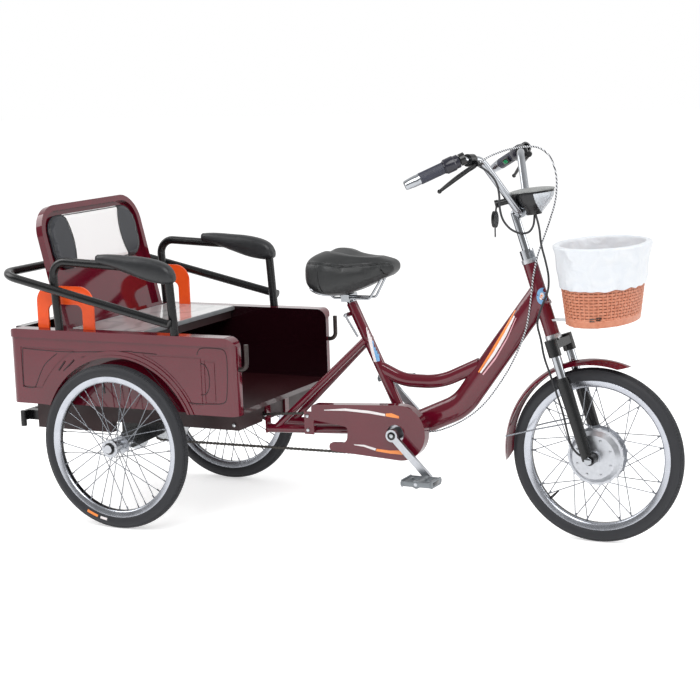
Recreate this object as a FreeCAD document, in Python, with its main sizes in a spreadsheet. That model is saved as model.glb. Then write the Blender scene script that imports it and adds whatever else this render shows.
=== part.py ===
import FreeCAD, Part
import math
import os
from types import SimpleNamespace

# Cycle rickshaw: a three-wheeled pedal cart with a passenger box over the rear axle.
# X points forward, Y to the rider's left, Z up. The origin is on the ground, in the
# middle of the length and width. Lengths are in millimetres, angles in degrees.

Vector = FreeCAD.Vector
doc = FreeCAD.newDocument("CycleRickshaw")
sheet = doc.addObject("Spreadsheet::Sheet", "Sizes")

sizes = {
    # wheels
    "wheelbase": 1375, "tyreRadius": 247, "tyreSection": 22, "tyreHigh": 36,
    "rimDepth": 19, "rimHalfWidth": 14, "spokeRadius": 1.3,
    "spokeCrossing": 60, "motorCrossing": 30,
    "seatGap": 0.3, "axleRadius": 10, "axleFit": 0.05,
    "hubRadius": 15, "hubFlangeRadius": 27, "hubFlangeHalf": 30, "hubFlangeThick": 7,
    "hubCapRadius": 12, "hubCapReach": 43,
    "motorRadius": 72, "motorFlangeRadius": 80, "motorFlangeHalf": 18, "motorFlangeThick": 5,
    "motorCoverInner": 74, "motorCoverOuter": 62, "motorHalfWidth": 34,
    "motorBossRadius": 18, "motorBossReach": 41, "motorAxleRadius": 7,
    # steering
    "headLean": 17.5, "forkOffset": 21,
    "headTubeLow": 357, "headTubeHigh": 565, "headTubeRadius": 21, "headTubeWall": 3,
    "steererRadius": 12.6, "cupRadius": 23, "cupHeight": 12, "cupGap": 5,
    "legSpacing": 60, "legOffset": 13, "legRadius": 19, "legTop": 228, "legFootRadius": 16,
    "eyeRadius": 15, "eyeHalf": 14, "sealRadius": 17, "sealHeight": 10,
    "stanchionRadius": 12.5, "crownHeight": 22, "crownBack": 24, "crownMiddle": 14,
    "crownArm": 15, "crownCorner": 12, "clampRadius": 18, "clampHeight": 48, "clampRise": 7,
    "axleOverhang": 12, "locknutRadius": 20, "locknutHeight": 26, "stemRadius": 11.5,
    "stemHeight": 708, "stemReach": 27, "stemClampRadius": 17, "stemClampHalf": 22,
    "fenderHalfWidth": 31, "fenderDrop": 14, "fenderWall": 2, "fenderSlant": 5.5,
    "fenderFrontAngle": 69, "fenderRearAngle": 187, "fenderBoltRadius": 5,
    "stayRadius": 2.2, "stayAngle": 170.5, "stayKneeBack": 165, "stayKneeOut": 45,
    "stayKneeUp": 71, "stayEndBack": 52, "stayEndOut": 56, "stayEndUp": 100, "stayBend": 150,
    # handlebar, whose places are measured back from the front axle
    "barRadius": 11, "barFlat": 36, "riserWide": 149, "riserBack": 270, "riserZ": 1075,
    "gripStartBack": 296, "gripStartY": 240, "gripStartZ": 1079,
    "gripEndBack": 385, "gripEndY": 296, "gripEndZ": 1035,
    "barLowBend": 30, "barTopBend": 48, "barSweepBend": 50,
    "gripRadius": 16, "gripLength": 70, "gripCollarRadius": 21, "gripCollar": 45,
    "gripTip": 44, "gripTipRadius": 13, "gripFit": 0.1,
    "leverClampRadius": 17, "leverClampLength": 24, "leverHubRadius": 8, "leverHubHalf": 9,
    "leverAhead": 23, "leverUnder": 9, "leverBack": 79, "leverOut": 80, "leverDrop": 68,
    "leverRadius": 4.5, "leverTipRadius": 6,
    # lamp and lock
    "lampBack": 182, "lampZ": 972, "lampLong": 64, "lampWide": 56, "lampLow": 58,
    "lampFoot": 18, "lampTop": 8, "lampLens": 40, "lampArm": 9, "lampTilt": 7,
    "lockSide": 62, "lockReach": 38, "lockSpread": 18, "lockDrop": 10, "lockRadius": 9,
    "lockHeadRadius": 11, "lockHead": 10, "keyDrop": 41, "keyWide": 17, "keyHigh": 23,
    "keyThick": 9, "keyStem": 2.5, "keyBlade": 49,
    # cables
    "cableUnit": 10, "cableRadius": 2.5, "wireRadius": 3,
    # frame
    "crankX": 800, "crankZ": 287, "seatTubeBack": 171.4, "seatTubeZ": 650,
    "seatTubeRadius": 16, "shellRadius": 23, "shellHalf": 36, "downTubeHigh": 37,
    "downTubeWide": 23, "downTubeRise": 12, "downTopBend": 260, "downLowBend": 150,
    "stepTubeHigh": 20, "stepTubeWide": 15, "stepRearBend": 150, "stepFrontBend": 220,
    "stayTubeRadius": 10, "chainStayRadius": 13,
    "stayHalfTop": 22, "stayHalfRear": 58, "seatStayZ": 545, "seatStayX": 388, "rearLugZ": 258,
    "lugHalf": 12, "bridgeRadius": 8, "stayDrop": 4,
    "postRadius": 12.7, "collarRadius": 21, "collarHeight": 22,
    "earBack": 19, "earDrop": 28, "earRadius": 7, "earHalf": 18,
    "quickHead": 6, "quickReach": 16, "quickArm": 3.5, "quickAhead": 33, "quickDrop": 60,
    # saddle
    "saddleRearX": 520, "saddleNoseX": 783, "saddleHalfWidth": 124, "saddleTopZ": 803,
    "saddleLowZ": 678, "saddleWireRadius": 3.5, "saddleWireZ": 666, "wireRear": 14,
    "wireNose": 40, "wireRise": 46, "wireBend": 13,
    # drive
    "chainY": 75, "ringRadius": 67, "sprocketRadius": 35, "chainWide": 7, "chainHigh": 8,
    "toothGap": 1, "ringThick": 4, "spindleRadius": 8, "spindleFit": 0.05, "crankLength": 159,
    "crankDrop": 45.8, "armWide": 20, "armThick": 12, "armInner": 108, "bossRadius": 18,
    "pedalLong": 96, "pedalWide": 78, "pedalHigh": 24, "pedalWall": 9,
    "pedalAxleRadius": 5, "pedalGap": 8,
    "guardInner": 62, "guardOuter": 93, "guardWall": 2, "guardHole": 27, "guardRear": 270,
    "guardFront": 93, "guardLow": 82, "guardHigh": 89, "guardRound": 80,
    "tabBack": 25, "tabFront": 6, "tabLow": 19, "tabHigh": 49, "tabThick": 4,
    "tongueHigh": 20, "tongueInner": 52,
    # box
    "boxFront": 403, "boxRear": 384, "boxHalfWidth": 308, "boxTop": 583, "boxLow": 354,
    "wallThick": 40, "rearWallThick": 30, "floorThick": 14, "cornerRadius": 26,
    "rearTopCorner": 26, "frontTopCorner": 32, "archGap": 16, "archDepth": 21,
    "rimLip": 6, "rimLipHeight": 26, "flareWide": 7, "flareOut": 6, "flareFootWide": 19,
    "flareFootOut": 3, "grooveHalf": 2.5, "grooveDeep": 1.6,
    "rearPanelX": 339, "rearPanelLow": 406, "rearPanelHigh": 526, "rearPanelArch": 65,
    "frontPanelX": 293, "frontPanelLow": 386, "frontPanelHigh": 522, "frontPanelArch": 45,
    "cornerPanelX": 305, "cornerPanelLong": 33, "cornerPanelLow": 393, "cornerPanelHigh": 513,
    "boardFront": 76, "boardRear": 176, "boardThick": 12, "boardTop": 584, "boardGap": 3,
    # chassis
    "railHalf": 214, "railWide": 26, "railHigh": 58, "railFront": 362, "railRear": 352,
    "deepHigh": 92, "deepFront": 80, "notchHalf": 12, "notchHigh": 29,
    "crossWide": 34, "crossHigh": 24, "lugThick": 6,
    "bearingRadius": 31, "bearingWide": 25.4, "drumRadius": 50, "drumWide": 30,
    "saddleBlockHalf": 45, "bracketThick": 8, "bracketRear": 60, "bracketLong": 170,
    "bracketLow": 25, "bracketHigh": 90, "bracketCorner": 10,
    "tailThick": 12, "tailHalf": 250, "tailLow": 284, "tailHigh": 30, "tailEndRadius": 9,
    "tailEndLow": 268, "tailEndHigh": 48,
    # seat back and rails
    "backBaseX": 196, "backLean": 13.5, "backLow": 8, "backHigh": 372,
    "backCorner": 88, "backThick": 22, "backDeep": 14,
    "backBorder": 18, "backSunk": 24, "backWall": 3, "padLow": 165, "padHigh": 349,
    "padHalfWidth": 240, "padThick": 20, "padCorner": 66,
    "armTube": 12.7, "armFrontX": 190, "armFrontFoot": 203, "armTopZ": 772,
    "armRearZ": 790, "armRearX": 214, "armRearFoot": 200, "armBend": 45,
    "armPadRear": 52, "armPadLong": 266, "armPadLow": 750, "armPadRise": 49,
    "armPadHigh": 35, "armPadWide": 25,
    "railFrontZ": 618, "railBackZ": 750, "railBackX": 387, "railCorner": 60,
    "handleRear": 295, "handleFront": 92, "handleHigh": 128, "handleLeg": 40,
    "handleBand": 55, "handleThick": 6, "handleCorner": 50, "handleHoleCorner": 22,
    "handleInset": 1,
    "latchFoot": 94, "latchReach": 25, "latchHigh": 73, "latchRadius": 6.5, "latchBend": 20,
    # basket
    "basketX": 1396, "basketLow": 626, "basketHigh": 836, "basketLongTop": 119,
    "basketWideTop": 182, "basketLongLow": 92, "basketWideLow": 158, "basketWall": 5,
    "stripWide": 26, "stripThick": 5,
    # sizes that follow from the ones above
    "rimRadius": "=tyreRadius - tyreHigh",
    "archRadius": "=tyreRadius + archGap",
    "fenderRadius": "=tyreRadius + 25",
    "trackHalf": "=boxHalfWidth + 24",
    "armY": "=boxHalfWidth - 8",
    "backHalfWidth": "=boxHalfWidth - wallThick - seatGap",
}
for row, (name, value) in enumerate(sizes.items(), start=1):
    sheet.set("A%d" % row, name)
    sheet.set("B%d" % row, str(value))
    sheet.setAlias("B%d" % row, name)
doc.recompute()
dim = SimpleNamespace(**{name: float(sheet.get(name)) for name in sizes})

# Places worked out from the driving sizes
rearReach = dim.railBackX + dim.armTube
axleX = -(dim.wheelbase + dim.tyreRadius - rearReach) / 2
frontX = axleX + dim.wheelbase
axleXText = "(-(Sizes.wheelbase + Sizes.tyreRadius - Sizes.railBackX - Sizes.armTube) / 2)"
frontXText = "(%s + Sizes.wheelbase)" % axleXText
lean = math.radians(dim.headLean)
footX = frontX - dim.forkOffset * math.cos(lean)
footZ = dim.tyreRadius - dim.forkOffset * math.sin(lean)
crank = Vector(axleX + dim.crankX, 0, dim.crankZ)
seatTop = Vector(crank.x - dim.seatTubeBack, 0, dim.seatTubeZ)

nodes = {}


def keep(name, thing):
    """Register a finished sub-part under its node name."""
    thing.Label = name
    nodes[name] = thing
    return thing


def solid(name, shape):
    """A sub-part whose shape is worked out in code."""
    thing = doc.addObject("Part::Feature", name)
    thing.Shape = shape
    return keep(name, thing)


def primitive(kind, name, at=("0", "0", "0"), turn=None, **lengths):
    """A Part primitive with its lengths and place bound to the sheet."""
    thing = doc.addObject("Part::" + kind, name)
    if turn is not None:
        thing.Placement = FreeCAD.Placement(Vector(0, 0, 0), turn)
    for axis, text in zip("xyz", at):
        thing.setExpression("Placement.Base." + axis, text)
    for length, text in lengths.items():
        thing.setExpression(length, text)
    return thing


def cut(name, base, tool):
    thing = doc.addObject("Part::Cut", name)
    thing.Base = base
    thing.Tool = tool
    return thing


alongY = FreeCAD.Rotation(Vector(1, 0, 0), 90)


def steered(n, y, s):
    """A point given forward of, beside and along the steering axis."""
    x = footX + n * math.cos(lean) - s * math.sin(lean)
    z = footZ + n * math.sin(lean) + s * math.cos(lean)
    return Vector(x, y, z)


steerPlacement = FreeCAD.Placement(
    steered(0, 0, 0), FreeCAD.Rotation(Vector(0, 1, 0), -dim.headLean))


def steeredShape(shape):
    """Move a shape built round an upright axis onto the steering axis."""
    moved = shape.copy()
    moved.Placement = steerPlacement.multiply(moved.Placement)
    return moved


def rod(start, end, radius):
    way = end - start
    return Part.makeCylinder(radius, way.Length, start, way)


def largest(shape):
    return max(shape.Solids, key=lambda one: one.Volume)


def cornerArc(before, corner, after, radius):
    """Start, top and end of the arc that rounds a corner."""
    back = (before - corner).normalize()
    ahead = (after - corner).normalize()
    half = back.getAngle(ahead) / 2
    reach = radius / math.tan(half)
    top = corner + (back + ahead).normalize() * (radius / math.sin(half) - radius)
    return corner + back * reach, top, corner + ahead * reach


def roundedWire(points, radii):
    """Straight runs joined by arcs that touch both runs."""
    edges = []
    last = points[0]
    for i in range(1, len(points) - 1):
        start, top, end = cornerArc(points[i - 1], points[i], points[i + 1], radii[i - 1])
        if (start - last).Length > 1e-6:
            edges.append(Part.LineSegment(last, start).toShape())
        edges.append(Part.Arc(start, top, end).toShape())
        last = end
    edges.append(Part.LineSegment(last, points[-1]).toShape())
    return Part.Wire(edges)


def roundedOutline(corners, radii):
    """A closed outline of straight runs whose corners are rounded by arcs."""
    count = len(corners)
    arcs = [cornerArc(corners[i - 1], corners[i], corners[(i + 1) % count], radii[i])
            for i in range(count)]
    edges = []
    for i in range(count):
        start, top, end = arcs[i]
        if radii[i] > 0:
            edges.append(Part.Arc(start, top, end).toShape())
        after = arcs[(i + 1) % count][0]
        if (after - end).Length > 1e-6:
            edges.append(Part.LineSegment(end, after).toShape())
    return Part.Wire(edges)


def tube(points, radii, radius):
    """A round bar swept along straight runs and arcs."""
    path = roundedWire(points, radii)
    first = points[1] - points[0]
    ring = Part.Wire([Part.Circle(points[0], first, radius).toShape()])
    return path.makePipeShell([ring], True, False)


arcShare = 0.45


def easedTube(points, radius):
    """A cable whose arcs are as large as the runs of its route allow."""
    radii = []
    for i in range(1, len(points) - 1):
        back = points[i - 1] - points[i]
        ahead = points[i + 1] - points[i]
        run = min(back.Length, ahead.Length)
        radii.append(arcShare * run * math.tan(back.getAngle(ahead) / 2))
    print("cable arcs from %.0f mm" % min(radii))
    return tube(points, radii, radius)


def mirrored(shape):
    return shape.mirror(Vector(0, 0, 0), Vector(0, 1, 0))


def tyreAndRim(name, x, y):
    """A round tyre seated on a rim ring."""
    place = (x, y, "Sizes.tyreRadius")
    low = (x, "(%s) + Sizes.tyreSection * 2" % y, "Sizes.tyreRadius")
    torus = primitive("Torus", name + "_torus", place, alongY,
                      Radius1="Sizes.tyreRadius - Sizes.tyreSection", Radius2="Sizes.tyreSection")
    bed = primitive("Cylinder", name + "_bed", low, alongY,
                    Radius="Sizes.rimRadius", Height="Sizes.tyreSection * 4")
    keep(name + "_tyre", cut(name + "_tyre", torus, bed))
    side = (x, "(%s) + Sizes.rimHalfWidth" % y, "Sizes.tyreRadius")
    ring = primitive("Cylinder", name + "_ring", side, alongY,
                     Radius="Sizes.rimRadius", Height="Sizes.rimHalfWidth * 2")
    hole = primitive("Cylinder", name + "_hole", side, alongY,
                     Radius="Sizes.rimRadius - Sizes.rimDepth", Height="Sizes.rimHalfWidth * 2")
    keep(name + "_rim", cut(name + "_rim", ring, hole))


spokesPerSide = 18
rimSpreadShare = 0.8
hubSpreadShare = 2.2


def spokes(name, centre, flangeRadius, flangeHalf, crossing):
    """Crossed spokes from two hub flanges to the rim."""
    step = 360 / spokesPerSide
    inner = flangeRadius + dim.spokeRadius + dim.seatGap
    outer = dim.rimRadius - dim.rimDepth - 2 * dim.seatGap
    rods = []
    for side in (-1, 1):
        for i in range(spokesPerSide):
            way = 1 if i % 2 else -1
            hubAngle = math.radians(i * step + (side + 1) * step / 4)
            rimAngle = hubAngle + way * math.radians(crossing)
            hubY = side * (flangeHalf + way * hubSpreadShare * dim.spokeRadius)
            rimY = side * dim.rimHalfWidth / 4 + side * way * rimSpreadShare * dim.spokeRadius
            start = centre + Vector(inner * math.cos(hubAngle), hubY, inner * math.sin(hubAngle))
            end = centre + Vector(outer * math.cos(rimAngle), rimY, outer * math.sin(rimAngle))
            rods.append(rod(start, end, dim.spokeRadius))
    solid(name, Part.makeCompound(rods))


def disc(centre, radius, low, high):
    """A cylinder along Y between two distances from the centre."""
    return Part.makeCylinder(radius, high - low, centre + Vector(0, low, 0), Vector(0, 1, 0))


def rearWheel(name, side):
    tyreAndRim(name, axleXText, "%d * Sizes.trackHalf" % side)
    centre = Vector(axleX, side * dim.trackHalf, dim.tyreRadius)
    spokes(name + "_spokes", centre, dim.hubFlangeRadius, dim.hubFlangeHalf, dim.spokeCrossing)
    thick = dim.hubFlangeThick
    outer = dim.hubFlangeHalf + thick / 2
    hub = disc(centre, dim.hubRadius, -outer, outer).multiFuse([
        disc(centre, dim.hubFlangeRadius, -outer, thick - outer),
        disc(centre, dim.hubFlangeRadius, outer - thick, outer)])
    hub = hub.cut(disc(centre, dim.axleRadius + dim.axleFit, -outer, outer))
    cap = Part.makeCylinder(dim.hubCapRadius, dim.hubCapReach - outer,
                            centre + Vector(0, side * outer, 0), Vector(0, side, 0))
    solid(name + "_hub", hub.fuse(cap).removeSplitter())


def frontWheel():
    """Front tyre and rim, and a hub motor with dished covers."""
    tyreAndRim("front", frontXText, "0")
    centre = Vector(frontX, 0, dim.tyreRadius)
    spokes("front_spokes", centre, dim.motorFlangeRadius, dim.motorFlangeHalf,
           dim.motorCrossing)
    thick = dim.motorFlangeThick / 2
    half = dim.motorFlangeHalf
    reach = dim.motorBossReach
    pieces = [disc(centre, dim.motorFlangeRadius, half - thick, half + thick),
              disc(centre, dim.motorFlangeRadius, -half - thick, thick - half),
              disc(centre, dim.motorBossRadius, -reach, reach)]
    for side in (-1, 1):
        start = centre + Vector(0, side * (half + thick), 0)
        pieces.append(Part.makeCone(dim.motorCoverInner, dim.motorCoverOuter,
                                    dim.motorHalfWidth - half - thick, start,
                                    Vector(0, side, 0)))
    motor = disc(centre, dim.motorRadius, -half, half).multiFuse(pieces)
    motor = motor.cut(disc(centre, dim.motorAxleRadius + dim.axleFit, -reach, reach))
    solid("front_hub_motor", motor.removeSplitter())


def fork():
    """Clamped crown with its steerer, chrome stanchions, lower legs and the front axle."""
    at = dim.legOffset
    top = dim.headTubeLow - dim.cupHeight - dim.cupGap
    low = top - dim.crownHeight
    clampTop = top + dim.clampRise
    clampLow = clampTop - dim.clampHeight
    corners = [Vector(at - dim.crownArm, -dim.legSpacing, low),
               Vector(-dim.crownBack, -dim.crownMiddle, low),
               Vector(-dim.crownBack, dim.crownMiddle, low),
               Vector(at - dim.crownArm, dim.legSpacing, low),
               Vector(at + dim.crownArm, dim.legSpacing, low),
               Vector(at + dim.crownArm, -dim.legSpacing, low)]
    radii = [0, dim.crownCorner, dim.crownCorner, 0, 0, 0]
    bridge = Part.Face(roundedOutline(corners, radii)).extrude(Vector(0, 0, dim.crownHeight))
    steererTop = dim.headTubeHigh + dim.cupHeight
    parts = [Part.makeCylinder(dim.steererRadius, steererTop - low, Vector(0, 0, low))]
    chrome = []
    lower = []
    for side in (-1, 1):
        y = side * dim.legSpacing
        parts.append(Part.makeCylinder(dim.clampRadius, dim.clampHeight,
                                       Vector(at, y, clampLow)))
        chrome.append(Part.makeCylinder(dim.stanchionRadius, clampLow - dim.legTop,
                                        Vector(at, y, dim.legTop)))
        leg = Part.makeCone(dim.legFootRadius, dim.legRadius, dim.legTop, Vector(at, y, 0))
        seal = Part.makeCylinder(dim.sealRadius, dim.sealHeight, Vector(at, y, dim.legTop))
        neck = Part.makeCylinder(dim.stanchionRadius + dim.gripFit, dim.sealHeight,
                                 Vector(at, y, dim.legTop))
        eye = disc(Vector(dim.forkOffset, y, 0), dim.eyeRadius, -dim.eyeHalf, dim.eyeHalf)
        bore = disc(Vector(dim.forkOffset, y, 0), dim.motorAxleRadius,
                    -2 * dim.eyeHalf, 2 * dim.eyeHalf)
        lower.append(leg.multiFuse([seal.cut(neck), eye]).cut(bore).removeSplitter())
    solid("fork_crown", steeredShape(bridge.multiFuse(parts).removeSplitter()))
    solid("fork_stanchions", steeredShape(Part.makeCompound(chrome)))
    legs = steeredShape(Part.makeCompound(lower))
    solid("fork_legs", legs)
    reach = "(Sizes.legSpacing + Sizes.eyeHalf + Sizes.axleOverhang)"
    axle = primitive("Cylinder", "front_axle", (frontXText, reach, "Sizes.tyreRadius"), alongY,
                     Radius="Sizes.motorAxleRadius", Height="2 * " + reach)
    keep("front_axle", axle)
    return legs


def stem():
    low = dim.headTubeHigh + dim.cupHeight + dim.seatGap
    nut = Part.makeCylinder(dim.locknutRadius, dim.locknutHeight, Vector(0, 0, low))
    post = Part.makeCylinder(dim.stemRadius, dim.stemHeight - low, Vector(0, 0, low))
    arm = Part.makeCylinder(dim.stemRadius, dim.stemReach, Vector(0, 0, dim.stemHeight),
                            Vector(1, 0, 0))
    elbow = Part.makeSphere(dim.stemRadius, Vector(0, 0, dim.stemHeight))
    middle = Vector(dim.stemReach, 0, dim.stemHeight)
    clamp = disc(middle, dim.stemClampRadius, -dim.stemClampHalf, dim.stemClampHalf)
    hole = disc(middle, dim.barRadius + dim.gripFit, -2 * dim.stemClampHalf,
                2 * dim.stemClampHalf)
    body = nut.multiFuse([post, arm, elbow, clamp]).cut(hole).removeSplitter()
    solid("stem", steeredShape(body))


def barPoints(side):
    """Half of the handlebar's centre line, from the stem clamp to the grip's end."""
    clamp = steered(dim.stemReach, 0, dim.stemHeight)
    return [Vector(clamp.x, side * dim.barFlat, clamp.z),
            Vector(frontX - dim.riserBack, side * dim.riserWide, dim.riserZ),
            Vector(frontX - dim.gripStartBack, side * dim.gripStartY, dim.gripStartZ),
            Vector(frontX - dim.gripEndBack, side * dim.gripEndY, dim.gripEndZ)]


def handlebar():
    points = list(reversed(barPoints(-1))) + barPoints(1)
    radii = [dim.barSweepBend, dim.barTopBend, dim.barLowBend]
    radii = radii + list(reversed(radii))
    solid("handlebar", tube(points, radii, dim.barRadius))
    return tube(points, radii, dim.barRadius + dim.gripFit)


def grip(name, side, bar):
    """A moulded grip over the bar's end, with a collar and a tapered tip."""
    points = barPoints(side)
    end = points[3]
    way = (points[3] - points[2]).normalize()
    start = end - way * dim.gripLength
    body = rod(start, end + way * dim.seatGap, dim.gripRadius)
    collar = rod(start - way * dim.gripCollar, start, dim.gripCollarRadius)
    tip = Part.makeCone(dim.gripRadius, dim.gripTipRadius, dim.gripTip,
                        end + way * dim.seatGap, way)
    endGap = Part.makeCylinder(dim.barRadius + dim.gripFit, dim.seatGap, end, way)
    solid(name, largest(body.multiFuse([collar, tip]).cut(bar).cut(endGap)))


def leverPivot(side):
    """Middle of a brake lever's clamp, the bar's direction there, and the pivot."""
    points = barPoints(side)
    middle = (points[1] + points[2]) / 2
    way = (points[2] - points[1]).normalize()
    return middle, way, middle + Vector(dim.leverAhead, 0, -dim.leverUnder)


def brakeLevers(bar):
    """A clamp on the bar inside each grip and a blade that runs under the grip."""
    both = []
    for side in (-1, 1):
        middle, way, pivot = leverPivot(side)
        half = way * (dim.leverClampLength / 2)
        ring = rod(middle - half, middle + half, dim.leverClampRadius)
        hub = rod(pivot - way * dim.leverHubHalf, pivot + way * dim.leverHubHalf,
                  dim.leverHubRadius)
        tip = pivot + Vector(-dim.leverBack, side * dim.leverOut, -dim.leverDrop)
        body = ring.multiFuse([hub, rod(pivot, tip, dim.leverRadius),
                               Part.makeSphere(dim.leverTipRadius, tip)]).cut(bar)
        both.append(largest(body))
    levers = Part.makeCompound(both)
    solid("brake_levers", levers)
    return levers


def keySwitch(bar):
    """A lock on a stub under the bar, with a key and its fob hanging from it."""
    clamp = steered(dim.stemReach, 0, dim.stemHeight)
    points = barPoints(-1)
    share = (dim.lockSide - dim.barFlat) / (dim.riserWide - dim.barFlat)
    root = points[0] + (points[1] - points[0]) * share
    face = Vector(root.x - dim.lockReach, -dim.lockSide - dim.lockSpread, root.z - dim.lockDrop)
    way = (face - root).normalize()
    fob = Vector(face.x - dim.lockHead / 2, face.y, face.z - dim.keyDrop)
    oval = Part.Ellipse(fob + Vector(0, 0, dim.keyHigh), fob + Vector(0, dim.keyWide, 0), fob)
    plate = Part.Face(Part.Wire([oval.toShape()])).extrude(Vector(dim.keyThick, 0, 0))
    middle = fob + Vector(dim.keyThick / 2, 0, 0)
    blade = Part.makeBox(dim.keyStem, 2 * dim.keyStem, dim.keyBlade,
                         Vector(middle.x - dim.keyStem / 2, middle.y - dim.keyStem,
                                middle.z - dim.keyBlade))
    pieces = [rod(face - way * dim.lockHead, face, dim.lockHeadRadius), plate, blade,
              rod(face - way * (dim.lockHead / 2), middle, dim.keyStem)]
    body = rod(root, face, dim.lockRadius).multiFuse(pieces).cut(bar).removeSplitter()
    solid("key_switch", largest(body))


def ellipseWire(x, z, half, wide, y=0):
    """A level ellipse, half its length along X and wide across Y."""
    centre = Vector(x, y, z)
    if half > wide:
        ellipse = Part.Ellipse(centre + Vector(half, 0, 0), centre + Vector(0, wide, 0), centre)
    else:
        ellipse = Part.Ellipse(centre + Vector(0, wide, 0), centre - Vector(half, 0, 0), centre)
    return Part.Wire([ellipse.toShape()])


def lamp():
    """A bowl with a flat grey lid, on an arm from the stem clamp."""
    levels = [(0, dim.lampFoot / dim.lampWide), (0.35, 0.62), (0.75, 0.93), (1, 1)]
    wires = [ellipseWire(0, -dim.lampLow * (1 - height), dim.lampLong * share,
                         dim.lampWide * share) for height, share in levels]
    bowl = Part.makeLoft(wires, True)
    lid = Part.Face(ellipseWire(0, 0, dim.lampLong, dim.lampWide)).extrude(
        Vector(0, 0, dim.lampTop))
    body = bowl.fuse(lid)
    ahead = Part.makeBox(2 * dim.lampLong, 4 * dim.lampWide, 2 * dim.lampLow,
                         Vector(dim.lampLong - dim.lampLens, -2 * dim.lampWide,
                                -2 * dim.lampLow))
    lens = body.common(ahead)
    shell = body.cut(ahead)
    place = FreeCAD.Placement(Vector(frontX - dim.lampBack, 0, dim.lampZ),
                              FreeCAD.Rotation(Vector(0, 1, 0), -dim.lampTilt))
    lens.Placement = place
    shell.Placement = place
    clamp = steered(dim.stemReach, 0, dim.stemHeight)
    arm = rod(clamp, Vector(frontX - dim.lampBack, 0, dim.lampZ - dim.lampLow / 2),
              dim.lampArm)
    hole = disc(clamp, dim.stemClampRadius, -2 * dim.stemClampHalf, 2 * dim.stemClampHalf)
    shell = largest(shell.fuse(arm).cut(hole).cut(lens))
    solid("headlamp", shell)
    solid("headlamp_lens", largest(lens.cut(hole)))
    return shell


headMiddle = steered(0, 0, (dim.headTubeLow + dim.headTubeHigh) / 2)
headSpan = headMiddle - crank


def onFrame(along, up, y=0):
    """A point given in shares of the span from the crank to the head tube's middle."""
    return Vector(crank.x + along * headSpan.x, y, crank.z + up * headSpan.z)


downShares = [(0.72, 0.638), (0.41, 0.193)]
stepShares = [(-0.24, 0.46), (-0.024, 0.358), (0.252, 0.358), (0.553, 0.506)]
frameCableShares = [(0.949, 0.989), (0.92, 0.808), (0.865, 0.656), (0.793, 0.508),
                    (0.721, 0.391), (0.62, 0.249), (0.509, 0.142), (0.38, 0.061),
                    (0.228, -0.005)]


def frameTubes():
    """Head tube, curved down tube, low step tube, seat tube and the crank shell."""
    low = dim.headTubeLow
    long = dim.headTubeHigh - low
    outer = steeredShape(Part.makeCylinder(dim.headTubeRadius, long, Vector(0, 0, low)))
    bore = steeredShape(Part.makeCylinder(
        dim.headTubeRadius - dim.headTubeWall, long, Vector(0, 0, low)))
    solid("head_tube", outer.cut(bore))
    cups = []
    for start in (low - dim.cupHeight, dim.headTubeHigh):
        ring = Part.makeCylinder(dim.cupRadius, dim.cupHeight, Vector(0, 0, start))
        hole = Part.makeCylinder(
            dim.steererRadius + dim.axleFit, dim.cupHeight, Vector(0, 0, start))
        cups.append(steeredShape(ring.cut(hole)))
    solid("headset_cups", Part.makeCompound(cups))
    way = (seatTop - crank).normalize()
    shellOuter = disc(crank, dim.shellRadius, -dim.shellHalf, dim.shellHalf)
    shellBore = disc(crank, dim.spindleRadius + dim.spindleFit, -dim.shellHalf, dim.shellHalf)
    seatRod = rod(crank, seatTop, dim.seatTubeRadius)
    seatBore = rod(crank, seatTop, dim.postRadius + dim.seatGap).cut(shellOuter)
    across = way.cross(Vector(0, 1, 0))
    ear = seatTop - way * dim.earDrop - across * dim.earBack * math.copysign(1, across.x)
    seatTube = seatRod.multiFuse([disc(ear, dim.earRadius, -dim.earHalf, dim.earHalf)])
    seatTube = seatTube.cut(seatBore).fuse(shellOuter).cut(shellBore).removeSplitter()
    solid("seat_tube", seatTube)
    downPoints = [headMiddle + Vector(0, 0, dim.downTubeRise)]
    downPoints += [onFrame(along, up) for along, up in downShares] + [crank]
    path = roundedWire(downPoints, [dim.downTopBend, dim.downLowBend])
    oval = ovalWire(downPoints[0], downPoints[1] - downPoints[0],
                    dim.downTubeHigh, dim.downTubeWide)
    down = path.makePipeShell([oval], True, False)
    down = largest(down.cut(outer).cut(shellOuter).cut(seatRod))
    solid("down_tube", down)
    stepPoints = [onFrame(along, up) for along, up in stepShares]
    path = roundedWire(stepPoints, [dim.stepRearBend, dim.stepFrontBend])
    oval = ovalWire(stepPoints[0], stepPoints[1] - stepPoints[0],
                    dim.stepTubeHigh, dim.stepTubeWide)
    step = path.makePipeShell([oval], True, False)
    solid("step_tube", largest(step.cut(seatRod).cut(down)))
    return outer, ear


def ovalWire(centre, way, high, wide):
    """An upright oval across a path that runs in the middle plane."""
    side = Vector(0, 1, 0)
    up = way.cross(side).normalize()
    ellipse = Part.Ellipse(centre + up * high, centre + side * wide, centre)
    return Part.Wire([ellipse.toShape()])


def chainStay(side):
    """Both ends of a chain stay's centre line, from its lug to the crank shell."""
    start = Vector(axleX + dim.railFront + dim.lugThick / 2, side * dim.stayHalfRear,
                   dim.rearLugZ + dim.lugHalf)
    end = Vector(crank.x, side * dim.stayHalfTop, crank.z - dim.stayDrop)
    return start, end


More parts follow.
